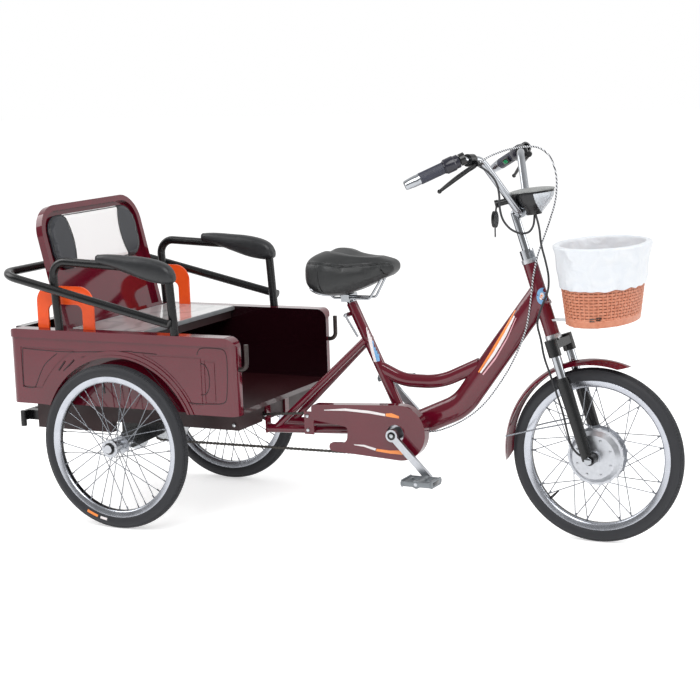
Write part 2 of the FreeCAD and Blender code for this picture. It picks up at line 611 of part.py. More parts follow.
def rearStays():
    """Seat stays, chain stays and the two upright lugs bolted to the chassis."""
    way = (seatTop - crank).normalize()
    joint = crank + way * ((dim.seatStayZ - dim.crankZ) / way.z)
    pieces = []
    for side in (-1, 1):
        foot = Vector(axleX + dim.seatStayX, side * dim.stayHalfRear, dim.rearLugZ + dim.lugHalf)
        head = Vector(joint.x, side * dim.stayHalfTop, joint.z)
        pieces.append(rod(foot, head, dim.stayTubeRadius))
        start, end = chainStay(side)
        pieces.append(rod(start, end, dim.chainStayRadius))
        lug = Part.makeBox(dim.lugThick, 2 * dim.lugHalf, dim.boxLow - dim.rearLugZ,
                           Vector(axleX + dim.railFront, side * dim.stayHalfRear - dim.lugHalf,
                                  dim.rearLugZ))
        pieces.append(lug)
    bridge = rod(Vector(joint.x, -dim.stayHalfTop, joint.z),
                 Vector(joint.x, dim.stayHalfTop, joint.z), dim.bridgeRadius)
    pieces.append(bridge)
    stays = pieces[0].multiFuse(pieces[1:]).removeSplitter()
    stays = stays.cut(rod(crank, seatTop + way * dim.shellRadius, dim.seatTubeRadius))
    stays = stays.cut(disc(crank, dim.shellRadius, -dim.shellHalf, dim.shellHalf))
    big = [one for one in stays.Solids if one.Volume > dim.chainStayRadius ** 3]
    solid("rear_stays", Part.makeCompound(big) if len(big) > 1 else big[0])


saddleShares = [(0, 0.50, 0.30, 0.85), (0.05, 0.72, 0.18, 0.93), (0.15, 0.92, 0.06, 1.0),
                (0.30, 1.0, 0, 0.99), (0.48, 0.78, 0.08, 0.91), (0.68, 0.50, 0.26, 0.87),
                (0.86, 0.36, 0.44, 0.86), (0.96, 0.30, 0.52, 0.83), (1, 0.20, 0.60, 0.76)]
saddleCornerShare = 0.35


def saddleShape():
    """Padded seat, wide and raised behind, with a blunt nose."""
    long = dim.saddleNoseX - dim.saddleRearX
    high = dim.saddleTopZ - dim.saddleLowZ
    wires = []
    for along, wide, low, tall in saddleShares:
        x = axleX + dim.saddleRearX + along * long
        half = wide * dim.saddleHalfWidth
        bottom = dim.saddleLowZ + low * high
        top = dim.saddleLowZ + tall * high
        corner = saddleCornerShare * min(half, (top - bottom) / 2)
        section = [Vector(x, -half, bottom), Vector(x, half, bottom), Vector(x, half, top),
                   Vector(x, -half, top)]
        wires.append(roundedOutline(section, [corner] * 4))
    return Part.makeLoft(wires, True)


def seat(ear):
    """Seat post with its saddle clamp and wires, the quick release and the saddle."""
    way = (seatTop - crank).normalize()
    postTop = seatTop + way * ((dim.saddleWireZ - dim.seatTubeZ) / way.z)
    post = rod(seatTop - way * dim.shellHalf * 2, postTop, dim.postRadius)
    half = dim.stayHalfTop + 2 * dim.saddleWireRadius
    block = Part.makeBox(2 * dim.postRadius, 2 * half, 6 * dim.saddleWireRadius,
                         Vector(postTop.x - dim.postRadius, -half,
                                dim.saddleWireZ - 3 * dim.saddleWireRadius))
    pieces = [post, block]
    rear = axleX + dim.saddleRearX + dim.wireRear
    nose = axleX + dim.saddleNoseX - dim.wireNose
    high = (dim.saddleLowZ + dim.saddleTopZ) / 2
    saddle = saddleShape()
    seated = saddle.copy()
    seated.translate(Vector(0, 0, -dim.seatGap))
    for side in (-1, 1):
        points = [Vector(rear, side * dim.stayHalfTop * 2, high),
                  Vector(rear + dim.wireRise, side * dim.stayHalfTop, dim.saddleWireZ),
                  Vector(nose - dim.wireRise, side * dim.stayHalfTop, dim.saddleWireZ),
                  Vector(nose, side * dim.stayHalfTop / 2, high)]
        wire = tube(points, [dim.wireBend, dim.wireBend], dim.saddleWireRadius)
        pieces.append(largest(wire.cut(seated).cut(saddle)))
    solid("saddle", saddle)
    post = pieces[0].multiFuse(pieces[1:]).removeSplitter()
    start = ear - Vector(0, dim.earHalf + dim.seatGap, 0)
    knee = start - Vector(0, dim.quickReach, 0)
    end = knee + Vector(dim.quickAhead, dim.quickReach / 2, -dim.quickDrop)
    lever = rod(start, knee, dim.quickHead).multiFuse([
        Part.makeSphere(dim.quickHead, knee), rod(knee, end, dim.quickArm),
        Part.makeSphere(dim.quickArm, end)]).removeSplitter()
    solid("seat_post", Part.makeCompound([post, lever]))


def crankset():
    """Chainring, spindle and the two arms, turned to where the right pedal is low."""
    reach = dim.armInner + dim.armThick
    pieces = [disc(crank, dim.spindleRadius, -reach, reach),
              disc(crank, dim.bossRadius, -reach, -dim.chainY),
              disc(crank, dim.bossRadius, dim.armInner, reach)]
    ends = {}
    for side in (-1, 1):
        angle = math.radians(-dim.crankDrop if side < 0 else 180 - dim.crankDrop)
        end = crank + Vector(math.cos(angle), 0, math.sin(angle)) * dim.crankLength
        low = dim.armInner if side > 0 else -reach
        bar = Part.makeBox(dim.crankLength, dim.armThick, dim.armWide,
                           Vector(0, low, -dim.armWide / 2))
        bar.Placement = FreeCAD.Placement(
            crank, FreeCAD.Rotation(Vector(0, 1, 0), -math.degrees(angle)))
        eye = disc(end, dim.armWide / 2, low, low + dim.armThick)
        pin = Part.makeCylinder(
            dim.pedalAxleRadius, dim.pedalWide + dim.pedalGap + dim.armThick,
            Vector(end.x, side * dim.armInner, end.z), Vector(0, side, 0))
        pieces += [bar, eye, pin]
        ends[side] = end
    ring = disc(crank, dim.ringRadius - dim.chainHigh / 2 - dim.toothGap,
                -dim.chainY - dim.ringThick / 2, dim.ringThick / 2 - dim.chainY)
    solid("crankset", ring.multiFuse(pieces).removeSplitter())
    for side, name in ((-1, "pedal_right"), (1, "pedal_left")):
        end = ends[side]
        near = reach + dim.pedalGap
        low = near if side > 0 else -near - dim.pedalWide
        block = Part.makeBox(dim.pedalLong, dim.pedalWide, dim.pedalHigh,
                             Vector(end.x - dim.pedalLong / 2, low, end.z - dim.pedalHigh / 2))
        window = Part.makeBox(
            dim.pedalLong / 2 - dim.pedalAxleRadius - 2.2 * dim.pedalWall,
            dim.pedalWide - 2 * dim.pedalWall, 2 * dim.pedalHigh,
            Vector(0, low + dim.pedalWall, end.z - dim.pedalHigh))
        for x in (end.x - dim.pedalLong / 2 + dim.pedalWall,
                  end.x + dim.pedalAxleRadius + 1.2 * dim.pedalWall):
            hole = window.copy()
            hole.translate(Vector(x, 0, 0))
            block = block.cut(hole)
        bore = disc(end, dim.pedalAxleRadius + dim.spindleFit, low, low + dim.pedalWide)
        solid(name, block.cut(bore).removeSplitter())


def beltWire(grow, y):
    """The chain's line round both sprockets, grown outward by a distance."""
    rear = Vector(axleX, y, dim.tyreRadius)
    front = Vector(crank.x, y, crank.z)
    r = dim.sprocketRadius + grow
    R = dim.ringRadius + grow
    way = front - rear
    base = math.atan2(way.z, way.x)
    tilt = math.acos((r - R) / way.Length)

    def at(centre, radius, angle):
        return centre + Vector(math.cos(angle), 0, math.sin(angle)) * radius

    topRear = at(rear, r, base + tilt)
    topFront = at(front, R, base + tilt)
    lowFront = at(front, R, base - tilt)
    lowRear = at(rear, r, base - tilt)
    return Part.Wire([
        Part.LineSegment(topRear, topFront).toShape(),
        Part.Arc(topFront, at(front, R, base), lowFront).toShape(),
        Part.LineSegment(lowFront, lowRear).toShape(),
        Part.Arc(lowRear, at(rear, r, base + math.pi), topRear).toShape()])


# Corners of the chain guard and of the axle bracket, in shares of their length and height
guardShares = [(0, 0.632), (0, 0.895), (1, 1), (1, 0), (0.149, 0.111), (0.16, 0.251),
               (0.314, 0.269), (0.325, 0.544)]
guardRoundShares = [0.04, 0.15, 1, 1, 0.15, 0.12, 0.22, 0.15]
bracketShares = [(0, 0.156), (0.118, 0.556), (1, 1), (1, 0.6), (0.324, 0)]


def outline(shares, start, along, up):
    """Corners of an upright outline given in shares of its length and height."""
    return [start + Vector(a * along, 0, b * up) for a, b in shares]


def chainAndGuard():
    y = -dim.chainY - dim.chainWide / 2
    outer = Part.Face(beltWire(dim.chainHigh / 2, y)).extrude(Vector(0, dim.chainWide, 0))
    inner = Part.Face(beltWire(-dim.chainHigh / 2, y)).extrude(Vector(0, dim.chainWide, 0))
    solid("chain", outer.cut(inner))
    face = -dim.guardOuter
    start = Vector(crank.x - dim.guardRear, face, crank.z - dim.guardLow)
    corners = outline(guardShares, start, dim.guardRear + dim.guardFront,
                      dim.guardLow + dim.guardHigh)
    edge = roundedOutline(corners, [share * dim.guardRound for share in guardRoundShares])
    deep = Vector(0, dim.guardOuter - dim.guardInner, 0)
    inside = Part.Face(edge.makeOffset2D(-dim.guardWall)).extrude(deep)
    inside.translate(Vector(0, dim.guardWall, 0))
    body = Part.Face(edge).extrude(deep).cut(inside)
    hole = disc(crank, dim.guardHole, face, -dim.guardInner)
    slot = Part.Face(beltWire(dim.chainHigh, -dim.chainY - dim.chainWide)).extrude(deep)
    body = largest(body.cut(hole).cut(slot))
    tabX = start.x - dim.tabBack
    low = crank.z - dim.tabLow
    tab = Part.makeBox(dim.tabBack + dim.tabFront, dim.tabThick, dim.tabLow + dim.tabHigh,
                       Vector(tabX, face + dim.tabThick / 2, low))
    tongue = Part.makeBox(dim.tongueHigh, dim.guardOuter - dim.tabThick / 2 - dim.tongueInner,
                          dim.tongueHigh, Vector(tabX, face + dim.tabThick / 2, low))
    stayStart, stayEnd = chainStay(-1)
    tongue = tongue.cut(rod(stayStart, stayEnd, dim.chainStayRadius + dim.seatGap))
    tongue = min(tongue.Solids, key=lambda one: one.BoundBox.YMin)
    solid("chain_guard", body.multiFuse([tab, tongue]).removeSplitter())


def onArch(side, radius, y, z):
    """A point on a circle round the rear axle, ahead of it or behind it."""
    rise = z - dim.tyreRadius
    return Vector(axleX + side * math.sqrt(radius ** 2 - rise ** 2), y, z)


def archedPanel(edgeX, low, high, radius):
    """A panel's outline beside the wheel arch, square away from it and curved along it."""
    y = dim.boxHalfWidth
    side = math.copysign(1, edgeX)
    a = onArch(side, radius, y, low)
    b = onArch(side, radius, y, high)
    middle = onArch(side, radius, y, (low + high) / 2)
    c = Vector(axleX + edgeX, y, high)
    d = Vector(axleX + edgeX, y, low)
    return Part.Wire([Part.Arc(a, middle, b).toShape(), Part.LineSegment(b, c).toShape(),
                      Part.LineSegment(c, d).toShape(), Part.LineSegment(d, a).toShape()])


def groove(wire):
    """A shallow groove pressed into the side wall along an outline."""
    deep = Vector(0, -dim.grooveDeep, 0)
    wide = Part.Face(wire.makeOffset2D(dim.grooveHalf)).extrude(deep)
    return wide.cut(Part.Face(wire.makeOffset2D(-dim.grooveHalf)).extrude(deep))


def sideWall():
    """The left side wall: rounded corners, wheel arch with its flare, lip and grooves."""
    rear = axleX - dim.boxRear
    front = axleX + dim.boxFront
    inner = dim.boxHalfWidth - dim.wallThick
    sides = [Vector(rear, inner, dim.boxLow), Vector(front, inner, dim.boxLow),
             Vector(front, inner, dim.boxTop), Vector(rear, inner, dim.boxTop)]
    radii = [0, 0, dim.frontTopCorner, dim.rearTopCorner]
    fromSide = Part.Face(roundedOutline(sides, radii)).extrude(
        Vector(0, dim.wallThick + dim.rimLip, 0))

    def fromAbove(outer, low, corner):
        plan = [Vector(rear, inner, low), Vector(front, inner, low),
                Vector(front, outer, low), Vector(rear, outer, low)]
        return Part.Face(roundedOutline(plan, [0, 0, corner, corner])).extrude(
            Vector(0, 0, dim.boxTop - low))

    wall = fromSide.common(fromAbove(dim.boxHalfWidth, dim.boxLow, dim.cornerRadius))
    lip = fromSide.common(fromAbove(dim.boxHalfWidth + dim.rimLip,
                                    dim.boxTop - dim.rimLipHeight, dim.cornerRadius))
    centre = Vector(axleX, dim.boxHalfWidth, dim.tyreRadius)
    arch = disc(centre, dim.archRadius, -dim.archDepth, dim.archDepth)
    flare = disc(centre, dim.archRadius + dim.flareWide, -dim.flareFootOut, dim.flareOut).fuse(
        disc(centre, dim.archRadius + dim.flareFootWide, -dim.flareFootOut, dim.flareFootOut))
    above = Part.makeBox(dim.boxFront + dim.boxRear, 2 * dim.boxHalfWidth, dim.boxTop,
                         Vector(rear, 0, dim.boxLow))
    corner = [Vector(axleX + dim.cornerPanelX + a * dim.cornerPanelLong, dim.boxHalfWidth,
                     z) for a, z in ((0, dim.cornerPanelLow), (1, dim.cornerPanelLow),
                                     (1, dim.cornerPanelHigh), (0, dim.cornerPanelHigh))]
    panels = [archedPanel(-dim.rearPanelX, dim.rearPanelLow, dim.rearPanelHigh,
                          dim.tyreRadius + dim.rearPanelArch),
              archedPanel(dim.frontPanelX, dim.frontPanelLow, dim.frontPanelHigh,
                          dim.tyreRadius + dim.frontPanelArch),
              roundedOutline(corner, [0, 0, 0, 0])]
    wall = wall.multiFuse([lip, flare.common(above)]).cut(arch)
    for wire in panels:
        wall = wall.cut(groove(wire))
    return wall.removeSplitter()


def box():
    """Passenger box: floor, side walls with arch recesses, rear wall, seat board."""
    inner = dim.boxHalfWidth - dim.wallThick
    floor = primitive("Box", "box_floor",
                      ("%s - Sizes.boxRear + Sizes.rearWallThick" % axleXText,
                       "-(Sizes.boxHalfWidth - Sizes.wallThick)", "Sizes.boxLow"),
                      Length="Sizes.boxFront + Sizes.boxRear - Sizes.rearWallThick",
                      Width="2 * (Sizes.boxHalfWidth - Sizes.wallThick)",
                      Height="Sizes.floorThick")
    keep("box_floor", floor)
    back = primitive("Box", "box_rear_wall",
                     ("%s - Sizes.boxRear" % axleXText,
                      "-(Sizes.boxHalfWidth - Sizes.wallThick)", "Sizes.boxLow"),
                     Length="Sizes.rearWallThick",
                     Width="2 * (Sizes.boxHalfWidth - Sizes.wallThick)",
                     Height="Sizes.boxTop - Sizes.boxLow")
    keep("box_rear_wall", back)
    wall = sideWall()
    solid("box_side_left", wall)
    solid("box_side_right", mirrored(wall))
    bearers = []
    for x in (dim.boardFront - 2 * dim.floorThick, -dim.boardRear + dim.floorThick):
        bearers.append(Part.makeBox(dim.floorThick, 2 * inner, 2 * dim.floorThick,
                                    Vector(axleX + x, -inner, dim.boardTop - dim.boardThick
                                           - 2 * dim.floorThick)))
    solid("seat_bearers", Part.makeCompound(bearers))
    board = primitive("Box", "seat_board",
                      ("%s - Sizes.boardRear" % axleXText,
                       "-(Sizes.boxHalfWidth - Sizes.wallThick - Sizes.boardGap)",
                       "Sizes.boardTop - Sizes.boardThick"),
                      Length="Sizes.boardFront + Sizes.boardRear",
                      Width="2 * (Sizes.boxHalfWidth - Sizes.wallThick - Sizes.boardGap)",
                      Height="Sizes.boardThick")
    keep("seat_board", board)


def chassis():
    """Side rails, deeper behind, with cross members, and the tail bar behind them."""
    low = dim.boxLow - dim.railHigh
    rear = axleX - dim.railRear
    front = axleX + dim.railFront
    pieces = []
    for side in (-1, 1):
        y = side * dim.railHalf - dim.railWide / 2
        pieces.append(Part.makeBox(front - rear, dim.railWide, dim.railHigh,
                                   Vector(rear, y, low)))
        pieces.append(Part.makeBox(dim.railRear - dim.deepFront, dim.railWide, dim.deepHigh,
                                   Vector(rear, y, dim.boxLow - dim.deepHigh)))
    for x in (rear, axleX - dim.crossWide / 2):
        pieces.append(Part.makeBox(dim.crossWide, 2 * dim.railHalf, dim.crossHigh,
                                   Vector(x, -dim.railHalf, dim.boxLow - dim.crossHigh)))
    pieces.append(Part.makeBox(dim.crossWide, 2 * dim.railHalf, dim.railHigh,
                               Vector(front - dim.crossWide, -dim.railHalf, low)))
    notch = Part.makeBox(dim.crossWide, 2 * dim.notchHalf, dim.notchHigh,
                         Vector(front - dim.crossWide, -dim.chainY - dim.notchHalf, low))
    solid("chassis", pieces[0].multiFuse(pieces[1:]).cut(notch).removeSplitter())
    back = axleX - rearReach + dim.seatGap
    bar = Part.makeBox(dim.tailThick, 2 * dim.tailHalf, dim.tailHigh,
                       Vector(back, -dim.tailHalf, dim.tailLow))
    pieces = []
    for side in (-1, 1):
        pieces.append(Part.makeBox(rear - back - dim.seatGap, dim.railWide, dim.tailHigh,
                                   Vector(back, side * dim.railHalf - dim.railWide / 2,
                                          dim.tailLow)))
        pieces.append(Part.makeCylinder(
            dim.tailEndRadius, dim.tailEndHigh,
            Vector(back + dim.tailEndRadius, side * dim.tailHalf, dim.tailEndLow)))
    solid("tail_bar", bar.multiFuse(pieces).removeSplitter())


def rearAxle():
    """Axle with sprocket, brake drum and bearings, and the brackets that carry it."""
    centre = Vector(axleX, 0, dim.tyreRadius)
    half = dim.trackHalf + dim.hubFlangeHalf
    pieces = [disc(centre, dim.sprocketRadius - dim.chainHigh / 2 - dim.seatGap,
                   -dim.chainY - dim.ringThick / 2, dim.ringThick / 2 - dim.chainY),
              disc(centre, dim.drumRadius, -dim.drumWide, 0)]
    brackets = []
    railLow = dim.boxLow - dim.railHigh
    wide = dim.railWide / 2
    for side in (-1, 1):
        y = side * dim.railHalf
        middle = centre + Vector(0, y, 0)
        pieces.append(disc(middle, dim.bearingRadius, -dim.bearingWide / 2, dim.bearingWide / 2))
        block = Part.makeBox(2 * dim.saddleBlockHalf, dim.railWide, railLow - dim.tyreRadius,
                             Vector(axleX - dim.saddleBlockHalf, y - wide, dim.tyreRadius))
        start = Vector(axleX - dim.bracketRear, y + side * wide,
                       dim.tyreRadius - dim.bracketLow)
        corners = outline(bracketShares, start, dim.bracketLong, dim.bracketHigh)
        plate = Part.Face(roundedOutline(corners, [dim.bracketCorner] * len(corners)))
        plate = plate.extrude(Vector(0, side * dim.bracketThick, 0))
        hole = disc(middle, dim.axleRadius + dim.seatGap, -2 * dim.railWide, 2 * dim.railWide)
        seated = disc(middle, dim.bearingRadius + dim.seatGap, -wide, wide)
        brackets.append(block.cut(seated).fuse(plate).cut(hole).removeSplitter())
    solid("rear_axle", disc(centre, dim.axleRadius, -half, half).multiFuse(
        pieces).removeSplitter())
    solid("axle_brackets", Part.makeCompound(brackets))


def uprightPlate(half, low, high, corner, front, thick):
    """A plate across the rickshaw with its two top corners rounded."""
    corners = [Vector(front, -half, low), Vector(front, half, low),
               Vector(front, half, high), Vector(front, -half, high)]
    return Part.Face(roundedOutline(corners, [0, 0, corner, corner])).extrude(
        Vector(-thick, 0, 0))


def seatBack():
    """Leaning back frame with a sheet inside its border, and its pad."""
    border = dim.backBorder
    half = dim.backHalfWidth
    whole = uprightPlate(half, -dim.backCorner, dim.backHigh, dim.backCorner, 0, dim.backThick)
    recess = uprightPlate(half - border, dim.backLow, dim.backHigh - border,
                          dim.backCorner - border, 0, dim.backDeep)
    behind = uprightPlate(half - border, dim.backLow, dim.backHigh - border,
                          dim.backCorner - border, -dim.backDeep - dim.backWall, dim.backThick)
    frame = whole.cut(recess).cut(behind)
    place = FreeCAD.Placement(Vector(axleX - dim.backBaseX, 0, dim.boxTop),
                              FreeCAD.Rotation(Vector(0, 1, 0), -dim.backLean))
    frame.Placement = place
    under = Part.makeBox(2 * dim.backHigh, 4 * half, 4 * dim.backCorner,
                         Vector(axleX - dim.backBaseX - dim.backHigh, -2 * half,
                                dim.boxTop - dim.backSunk - 4 * dim.backCorner))
    solid("backrest_frame", frame.cut(under))
    pad = uprightPlate(dim.padHalfWidth, dim.padLow, dim.padHigh, dim.padCorner,
                       dim.padThick - dim.backDeep + dim.seatGap, dim.padThick)
    pad.Placement = place
    solid("backrest_pad", pad)


# Sections of an armrest pad: along, up, half height and half width, in shares
padShares = [(0, 1, 0.4, 0.68), (0.158, 0.94, 0.54, 0.8), (0.421, 0.69, 0.8, 0.92),
             (0.647, 0.47, 1, 1), (0.835, 0.29, 0.97, 1), (0.947, 0.14, 0.74, 0.84),
             (1, 0, 0.34, 0.48)]


def armrests():
    """Bent tubes on the side walls with moulded pads, and the rail round the back."""
    tubes = []
    pads = []
    for side in (-1, 1):
        y = side * dim.armY
        points = [Vector(axleX + dim.armFrontFoot, y, dim.boxTop),
                  Vector(axleX + dim.armFrontX, y, dim.armTopZ),
                  Vector(axleX - dim.armRearX, y, dim.armRearZ),
                  Vector(axleX - dim.armRearFoot, y, dim.boxTop)]
        bends = [dim.armBend, dim.armBend]
        tubes.append(tube(points, bends, dim.armTube))
        wires = []
        for along, up, high, wide in padShares:
            centre = Vector(axleX - dim.armPadRear + along * dim.armPadLong, y,
                            dim.armPadLow + up * dim.armPadRise)
            wires.append(crossEllipse(centre, high * dim.armPadHigh, wide * dim.armPadWide))
        whole = Part.makeLoft(wires, True)
        pads.append(largest(whole.cut(tube(points, bends, dim.armTube + dim.gripFit))))
    solid("armrest_pads", Part.makeCompound(pads))
    y = dim.armY + 2 * dim.armTube + dim.seatGap
    back = axleX - dim.railBackX
    front = axleX + dim.armFrontFoot
    points = [Vector(front, -y, dim.railFrontZ), Vector(back, -y, dim.railBackZ),
              Vector(back, y, dim.railBackZ), Vector(front, y, dim.railFrontZ)]
    tubes.append(tube(points, [dim.railCorner, dim.railCorner], dim.armTube))
    under = Part.makeBox(dim.boxFront + dim.boxRear, 4 * dim.boxHalfWidth, dim.boxTop,
                         Vector(axleX - dim.boxRear, -2 * dim.boxHalfWidth, 0))
    solid("armrest_tubes", Part.makeCompound([one.cut(under) for one in tubes]))


def crossEllipse(centre, high, wide):
    """An ellipse across the length of the rickshaw."""
    if high > wide:
        ellipse = Part.Ellipse(centre + Vector(0, 0, high), centre + Vector(0, wide, 0), centre)
    else:
        ellipse = Part.Ellipse(centre + Vector(0, wide, 0), centre + Vector(0, 0, high), centre)
    return Part.Wire([ellipse.toShape()])


def grabHandles():
    """Flat upright loops on the rim of each side wall."""
    both = []
    y = dim.boxHalfWidth - dim.wallThick + dim.handleInset
    rear = axleX - dim.handleRear
    front = axleX - dim.handleFront
    top = dim.boxTop + dim.handleHigh
    leg = dim.handleLeg
    outer = [Vector(rear, y, dim.boxTop), Vector(front, y, dim.boxTop), Vector(front, y, top),
             Vector(rear, y, top)]
    low = dim.boxTop - dim.handleThick
    high = top - dim.handleBand
    inner = [Vector(rear + leg, y, low), Vector(front - leg, y, low),
             Vector(front - leg, y, high), Vector(rear + leg, y, high)]
    deep = Vector(0, dim.handleThick, 0)
    loop = Part.Face(roundedOutline(outer, [0, 0, dim.handleCorner, dim.handleCorner]))
    hole = Part.Face(roundedOutline(inner, [0, 0, dim.handleHoleCorner, dim.handleHoleCorner]))
    loop = loop.extrude(deep).cut(hole.extrude(deep))
    both = [loop, mirrored(loop)]
    solid("grab_handles", Part.makeCompound(both))


def latches():
    """Bent hooks on the front ends of the side walls."""
    y = dim.boxHalfWidth - dim.wallThick / 2 - dim.rimLip
    foot = dim.boxTop - dim.latchFoot
    points = [Vector(axleX + dim.boxFront, y, foot),
              Vector(axleX + dim.boxFront + dim.latchReach, y, foot),
              Vector(axleX + dim.boxFront + dim.latchReach, y, foot + dim.latchHigh)]
    hook = tube(points, [dim.latchBend], dim.latchRadius)
    solid("gate_latches", Part.makeCompound([hook, mirrored(hook)]))


def basket(headTube):
    def shell(wall, low, high):
        wires = []
        for z in (low, high):
            share = (z - dim.basketLow) / (dim.basketHigh - dim.basketLow)
            long = dim.basketLongLow + share * (dim.basketLongTop - dim.basketLongLow) - wall
            wide = dim.basketWideLow + share * (dim.basketWideTop - dim.basketWideLow) - wall
            wires.append(ellipseWire(axleX + dim.basketX, z, long, wide))
        return Part.makeLoft(wires, True)

    body = shell(0, dim.basketLow, dim.basketHigh)
    inside = shell(dim.basketWall, dim.basketLow + dim.basketWall,
                   dim.basketHigh + dim.basketWall)
    solid("basket", body.cut(inside))
    strip = Part.makeBox(dim.basketX + dim.basketLongLow / 2 - dim.crankX,
                         dim.stripWide, dim.stripThick,
                         Vector(crank.x, -dim.stripWide / 2,
                                dim.basketLow - dim.stripThick - dim.seatGap))
    strip = strip.cut(headTube)
    solid("basket_bracket", max(strip.Solids, key=lambda one: one.BoundBox.XMax))


def polar(radius, degrees):
    """A point round the front axle."""
    angle = math.radians(degrees)
    return Vector(frontX + radius * math.cos(angle), -2 * dim.fenderHalfWidth,
                  dim.tyreRadius + radius * math.sin(angle))


def slantCut(tipAngle, way):
    """The wedge that cuts a mudguard's end to a point."""
    r = dim.fenderRadius
    tip = polar(r, tipAngle)
    foot = polar(r - dim.fenderDrop, tipAngle - way * dim.fenderSlant)
    beyond = tipAngle + way * dim.fenderSlant
    corners = [tip + (tip - foot), foot - (tip - foot),
               polar(r - 3 * dim.fenderDrop, beyond), polar(r + 3 * dim.fenderDrop, beyond)]
    return Part.Face(roundedOutline(corners, [0, 0, 0, 0])).extrude(
        Vector(0, 4 * dim.fenderHalfWidth, 0))


def fender(legs):
    """Front mudguard, bolted under the crown, and its two wire stays."""
    centre = Vector(frontX, 0, dim.tyreRadius)
    r = dim.fenderRadius
    w = dim.fenderHalfWidth
    drop = dim.fenderDrop
    wall = dim.fenderWall
    section = Part.Wire([
        Part.Arc(Vector(r - drop, -w, 0), Vector(r, 0, 0), Vector(r - drop, w, 0)).toShape(),
        Part.LineSegment(Vector(r - drop, w, 0), Vector(r - drop, w - wall, 0)).toShape(),
        Part.Arc(Vector(r - drop, w - wall, 0), Vector(r - wall, 0, 0),
                 Vector(r - drop, wall - w, 0)).toShape(),
        Part.LineSegment(Vector(r - drop, wall - w, 0), Vector(r - drop, -w, 0)).toShape()])
    sweep = dim.fenderRearAngle - dim.fenderFrontAngle
    shape = Part.Face(section).revolve(Vector(0, 0, 0), Vector(0, 1, 0), -sweep)
    shape.Placement = FreeCAD.Placement(
        centre, FreeCAD.Rotation(Vector(0, 1, 0), -dim.fenderFrontAngle))
    shape = largest(shape.cut(slantCut(dim.fenderFrontAngle, -1)))
    shape = largest(shape.cut(slantCut(dim.fenderRearAngle, 1)))
    low = dim.headTubeLow - dim.cupHeight - dim.cupGap - dim.crownHeight
    bolt = steeredShape(Part.makeCylinder(
        dim.fenderBoltRadius, low - dim.tyreRadius, Vector(0, 0, dim.tyreRadius)))
    tyreSpace = disc(centre, r - wall / 2, -2 * w, 2 * w)
    solid("front_fender", shape.fuse(bolt.cut(tyreSpace)).removeSplitter())
    stays = []
    angle = math.radians(dim.stayAngle)
    for side in (-1, 1):
        start = centre + Vector(math.cos(angle), 0, math.sin(angle)) * (r - drop * 2 / 3)
        start.y = side * (w + dim.stayRadius + dim.seatGap)
        knee = centre + Vector(-dim.stayKneeBack, side * dim.stayKneeOut, dim.stayKneeUp)
        end = centre + Vector(-dim.stayEndBack, side * dim.stayEndOut, dim.stayEndUp)
        stay = tube([start, knee, end], [dim.stayBend], dim.stayRadius)
        stays.append(largest(stay.cut(legs)))
    solid("fender_stays", Part.makeCompound(stays))


# Routes of the cables, back from the front axle, to the left and up, in cable units
leverCableShares = [(25.7, -19.6, 107), (23.5, -17.8, 108.6), (20, -15, 110.1),
                    (16.8, -11.2, 110.7), (13.5, -7.2, 110.6), (11.3, -3.4, 107.8),
                    (10.5, -0.8, 102.4), (10.9, -0.4, 95.7), (13.2, -1.4, 88),
                    (15.9, -2.4, 80.6), (17.1, -2.8, 74.5)]
lampWireShares = [(27.2, -19, 106.8), (24.4, -16.5, 104.6), (22.9, -14, 101.5),
                  (22.9, -12.2, 97.8), (23.6, -10.6, 94), (23.5, -8.6, 90.5),
                  (22.2, -6.2, 87.8), (20.2, -3.8, 86.4), (18.4, -1.8, 86.6),
                  (17.6, -0.4, 88.4), (17.4, 0, 91.8)]
motorWireShares = [(16.9, -0.8, 91.8), (15.5, -1.6, 88), (14.8, -2.6, 83.6),
                   (13.2, -3.4, 79), (12.1, -4, 75), (12.1, -4.4, 71), (13.9, -5.2, 66.6),
                   (15.2, -6, 62), (13.9, -6, 57.6), (13.2, -6, 52.8), (11.4, -6.2, 48.2),
                   (9.4, -6.7, 43), (7.6, -6.8, 37.8), (6.4, -6.8, 32.4), (5.3, -6.6, 28),
                   (3.3, -6.3, 25.8), (1.1, -6, 25)]


def cableRoute(shares):
    unit = dim.cableUnit
    return [Vector(frontX - back * unit, aside * unit, up * unit) for back, aside, up in shares]


def cables(levers, lampShell, legs):
    """Brake cable from the lever to the crank, and the lamp's and the motor's wires."""
    route = cableRoute(leverCableShares)
    solid("lever_cable", largest(easedTube(route, dim.cableRadius).cut(levers)))
    way = (route[-1] - route[-2]).normalize()
    start = route[-1] + way * dim.seatGap
    side = -dim.downTubeWide - dim.cableRadius - dim.toothGap
    inner = [onFrame(along, up, side) for along, up in frameCableShares]
    toward = (inner[-1] - Vector(crank.x, side, crank.z)).normalize()
    end = Vector(crank.x, side, crank.z) + toward * (dim.shellRadius + dim.seatGap)
    solid("rear_brake_cable", easedTube([start] + inner + [end], dim.cableRadius))
    wires = [easedTube(cableRoute(lampWireShares), dim.wireRadius).cut(levers),
             easedTube(cableRoute(motorWireShares), dim.wireRadius).cut(legs)]
    wires = [largest(largest(one).cut(lampShell)) for one in wires]
    solid("steering_wires", Part.makeCompound(wires))


def main():
    rearWheel("right_wheel", -1)
    rearWheel("left_wheel", 1)
    frontWheel()
    legs = fork()
    stem()
    bar = handlebar()
    grip("grip_right", -1, bar)
    grip("throttle_left", 1, bar)
    levers = brakeLevers(bar)
    keySwitch(bar)
    lampShell = lamp()
    fender(legs)
    cables(levers, lampShell, legs)
    headTube, ear = frameTubes()
    rearStays()
    seat(ear)
    crankset()
    chainAndGuard()
    box()
    chassis()
    rearAxle()
    seatBack()
    armrests()
    grabHandles()
    latches()
    basket(headTube)
    doc.recompute()


